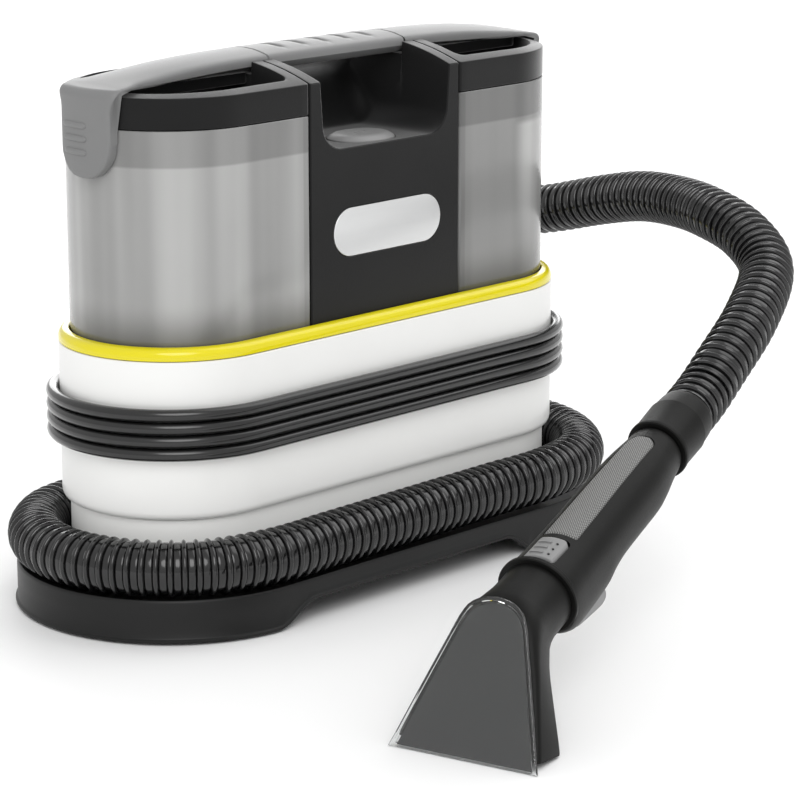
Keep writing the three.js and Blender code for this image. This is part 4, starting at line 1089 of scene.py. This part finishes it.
def make_handle():
    end = HANDLE_END
    insets = {0.0: 0.8, 0.5: 0.15, end - 0.5: 0.2, end: 0.7}
    xs = [0.0, 0.5, 1.2, 2.0, 3.0] + [3.0 + ((end - 3.0) * i) / 60 for i in range(1, 60)] + [end - 0.5, end]
    rows = [handle_loop(x, insets.get(x, 0.0)) for x in xs]
    whole = skin(rows + [handle_loop(end, 3.0), handle_loop(110.0, 3.0)])
    well = prism(rounded_box(4.0, -8.1, 23.0, 8.1, 3), 10.0, 30)
    pull = prism(rounded_box(11.6, -9.7, 45.8, 9.7, 1), -40, -16)
    bed = on_handle(rounded([(26.2, -8.7, 1.2), (115.6, -7.0, 6.4), (115.6, 7.0, 6.4), (26.2, 8.7, 1.2)], 8),
                    -0.7, 6)
    for word, low, high in (("left", -60, 0.08), ("right", -0.08, 60)):
        shell = piece(f"grip_{word}", *whole, "tool_black", angle=40, replaces=(f"handle_shell_{word}",),
                      slot="charcoal", at=HANDLE)
        other_half = prism([(-10, low), (150, low), (150, high), (-10, high)], -60, 60)
        carve(shell, *[placed(HANDLE, cutter) for cutter in (other_half, well, pull, bed)])
    collar = turned([(0, 17.0), (0.0, 19.0), (0.5, 19.5), (2.2, 19.5), (2.8, 19.0), (2.8, 17.0), (0, 17.0)],
                    (-0.2, 0, 0), TOWARD_X, 64, caps=False)
    piece("grip_collar", *collar, "tool_black", slot="charcoal", at=HANDLE)


def strip_patch(name, start, end, corner, steps, low, top, edge, material, body, replaces, slot):
    """A pad on the handle's crown from start to end, each (x, half width), that rises from low to top
    within edge of its outline."""
    (x0, w0), (x1, w1) = start, end
    small = min(1.2, corner)
    rows = []
    for i in range(steps + 1):
        x = x0 + (x1 - x0) * i / steps
        width = w0 + (w1 - w0) * (x - x0) / (x1 - x0)
        if x > x1 - corner:
            width = width - corner + math.sqrt(max(0.0, corner ** 2 - (x - x1 + corner) ** 2))
        if x < x0 + small:
            width = width - small + math.sqrt(max(0.0, small ** 2 - (x0 + small - x) ** 2))
        width = max(0.4, width)
        upper, under = [], []
        for k in range(25):
            y = width * (-1 + 2 * k / 24)
            rim = min(1.0, min(width - abs(y), x - x0, x1 - x) / edge)
            height = low + (top - low) * math.sqrt(max(0.0, 1 - (1 - max(0.0, rim)) ** 2))
            upper.append((x, y, top_of_handle(x, y) + height))
            under.append((x, y, top_of_handle(x, y) + low - 0.3))
        rows.append(upper + under[::-1])
    made = piece(name, *skin(rows), material, angle=50, body=body, replaces=replaces, slot=slot, at=HANDLE)
    flat = made.data.uv_layers.new(name="flat")
    back = HANDLE.inverted()
    for loop in made.data.loops:
        spot = back @ (made.data.vertices[loop.vertex_index].co / MM)
        flat.data[loop.index].uv = (spot.x, spot.y)


def make_grip_parts():
    strip_patch("grip_pad", (26.6, 8.3), (115.2, 6.7), 6.2, 120, -0.35, 0.25, 0.5, "pad", "machine",
                ("grip_insert",), "mid_grey")
    strip_patch("release_cap", (4.4, 7.6), (22.6, 7.6), 3.4, 60, -2.0, 0.9, 1.2, "pale_grey",
                "release_button", ("release_button",), "mid_grey")
    bars, dots = [], []
    for x in (8.4, 12.8, 17.2):
        reach = [-1.2 + 0.65 * k for k in range(11)]
        outline = [(x - 0.55, y) for y in reach] + [(x + 0.55, y) for y in reversed(reach)]
        bars.append(on_handle(outline, 0.6, 1.5))
        dots.append(on_handle(oval(0.55, 0.55, 2, 12, x, -4.0), 0.6, 1.3))
    piece("release_ribs", *merge(*bars), "pale_grey", body="release_button", slot="mid_grey", at=HANDLE)
    piece("release_dots", *merge(*dots), "black", body="release_button", slot="black_plastic", at=HANDLE)
    side = rounded([(12.6, -17.4, 1), (12.2, -21, 1.5), (14, -24.8, 2), (26, -27.2, 6), (40, -29.4, 2.5),
                    (44.2, -28.2, 2), (44.9, -25, 1.5), (43, -21.4, 1), (30, -19.6, 3), (19, -17.2, 1)], 5)
    rows = [[(x + (29 - x) * inset / 22, y, z + (-23.5 - z) * inset / 8) for x, z in side]
            for y, inset in ((-9.2, 0.9), (-8.9, 0.3), (-8.3, 0.0), (8.3, 0.0), (8.9, 0.3), (9.2, 0.9))]
    piece("trigger_lever", *skin(rows), "trigger", angle=30, body="trigger", replaces=("trigger",),
          slot="mid_grey", at=HANDLE)


def make_cuff():
    start = (HANDLE_END + 0.7, 0, 0)
    sleeve = turned([(0.2, 8.4), (0.2, 14.8), (0.6, 15.35), (1.6, 15.5), (2.6, 15.45), (3.1, 15.0),
                     (3.6, 14.95), (21.0, 15.25), (21.6, 15.3), (22.0, 14.95), (22.8, 14.9), (31.0, 14.3),
                     (33.0, 14.0), (33.9, 13.3), (33.9, 8.4), (0.2, 8.4)], start, TOWARD_X, 64, caps=False)
    stub = turned([(-10.8, 8.4), (-10.8, 9.8), (0.6, 9.8), (0.6, 8.4), (-10.8, 8.4)], start, TOWARD_X, 40,
                  caps=False)
    return piece("cuff_sleeve", *merge(sleeve, stub), "tool_black", angle=30, body="cuff",
                 replaces=("hose_cuff",), slot="charcoal", at=HANDLE)


# ------------------------------------------------------------------ build
MATERIALS = make_materials()
aim_camera()
studio()
hose, hose_line = make_hose()
lead, lead_line = make_lead()
gland = make_gland()
plug, pins = make_plug()
clip = make_clip()
make_tray()
make_cover()
make_housings()
make_socket()
for side, word in ((-1, "fresh"), (1, "dirt")):
    make_tank(side, word)
    make_lid(side, word)
    make_tank_bar(side, word)
make_column()
make_carry_bar()
make_power_button()
make_nozzle()
make_handle()
make_grip_parts()
cuff = make_cuff()

# CAD nodes that are shown as they are, with the look of each.
KEPT = {
    "black": ("tank_deck", "fan", "fan_cover", "pump", "valve_socket", "inlet_pipe", "power_switch",
              "fresh_valve"),
    "rubber": ("motor_mount",),
    "duct": ("dirt_inlet_duct", "dirt_float"),
    "smoke": ("solution_tube",),
    "steel": ("button_spring", "suction_motor", "trigger_pin"),
    "brass": ("spray_tip", "spray_valve"),
    "board": ("circuit_board",),
}
for word, names in KEPT.items():
    for name in names:
        node = bpy.data.objects[name]
        if not node.material_slots:
            node.data.materials.append(MATERIALS[word])
        for slot in node.material_slots:
            slot.material = MATERIALS[word]
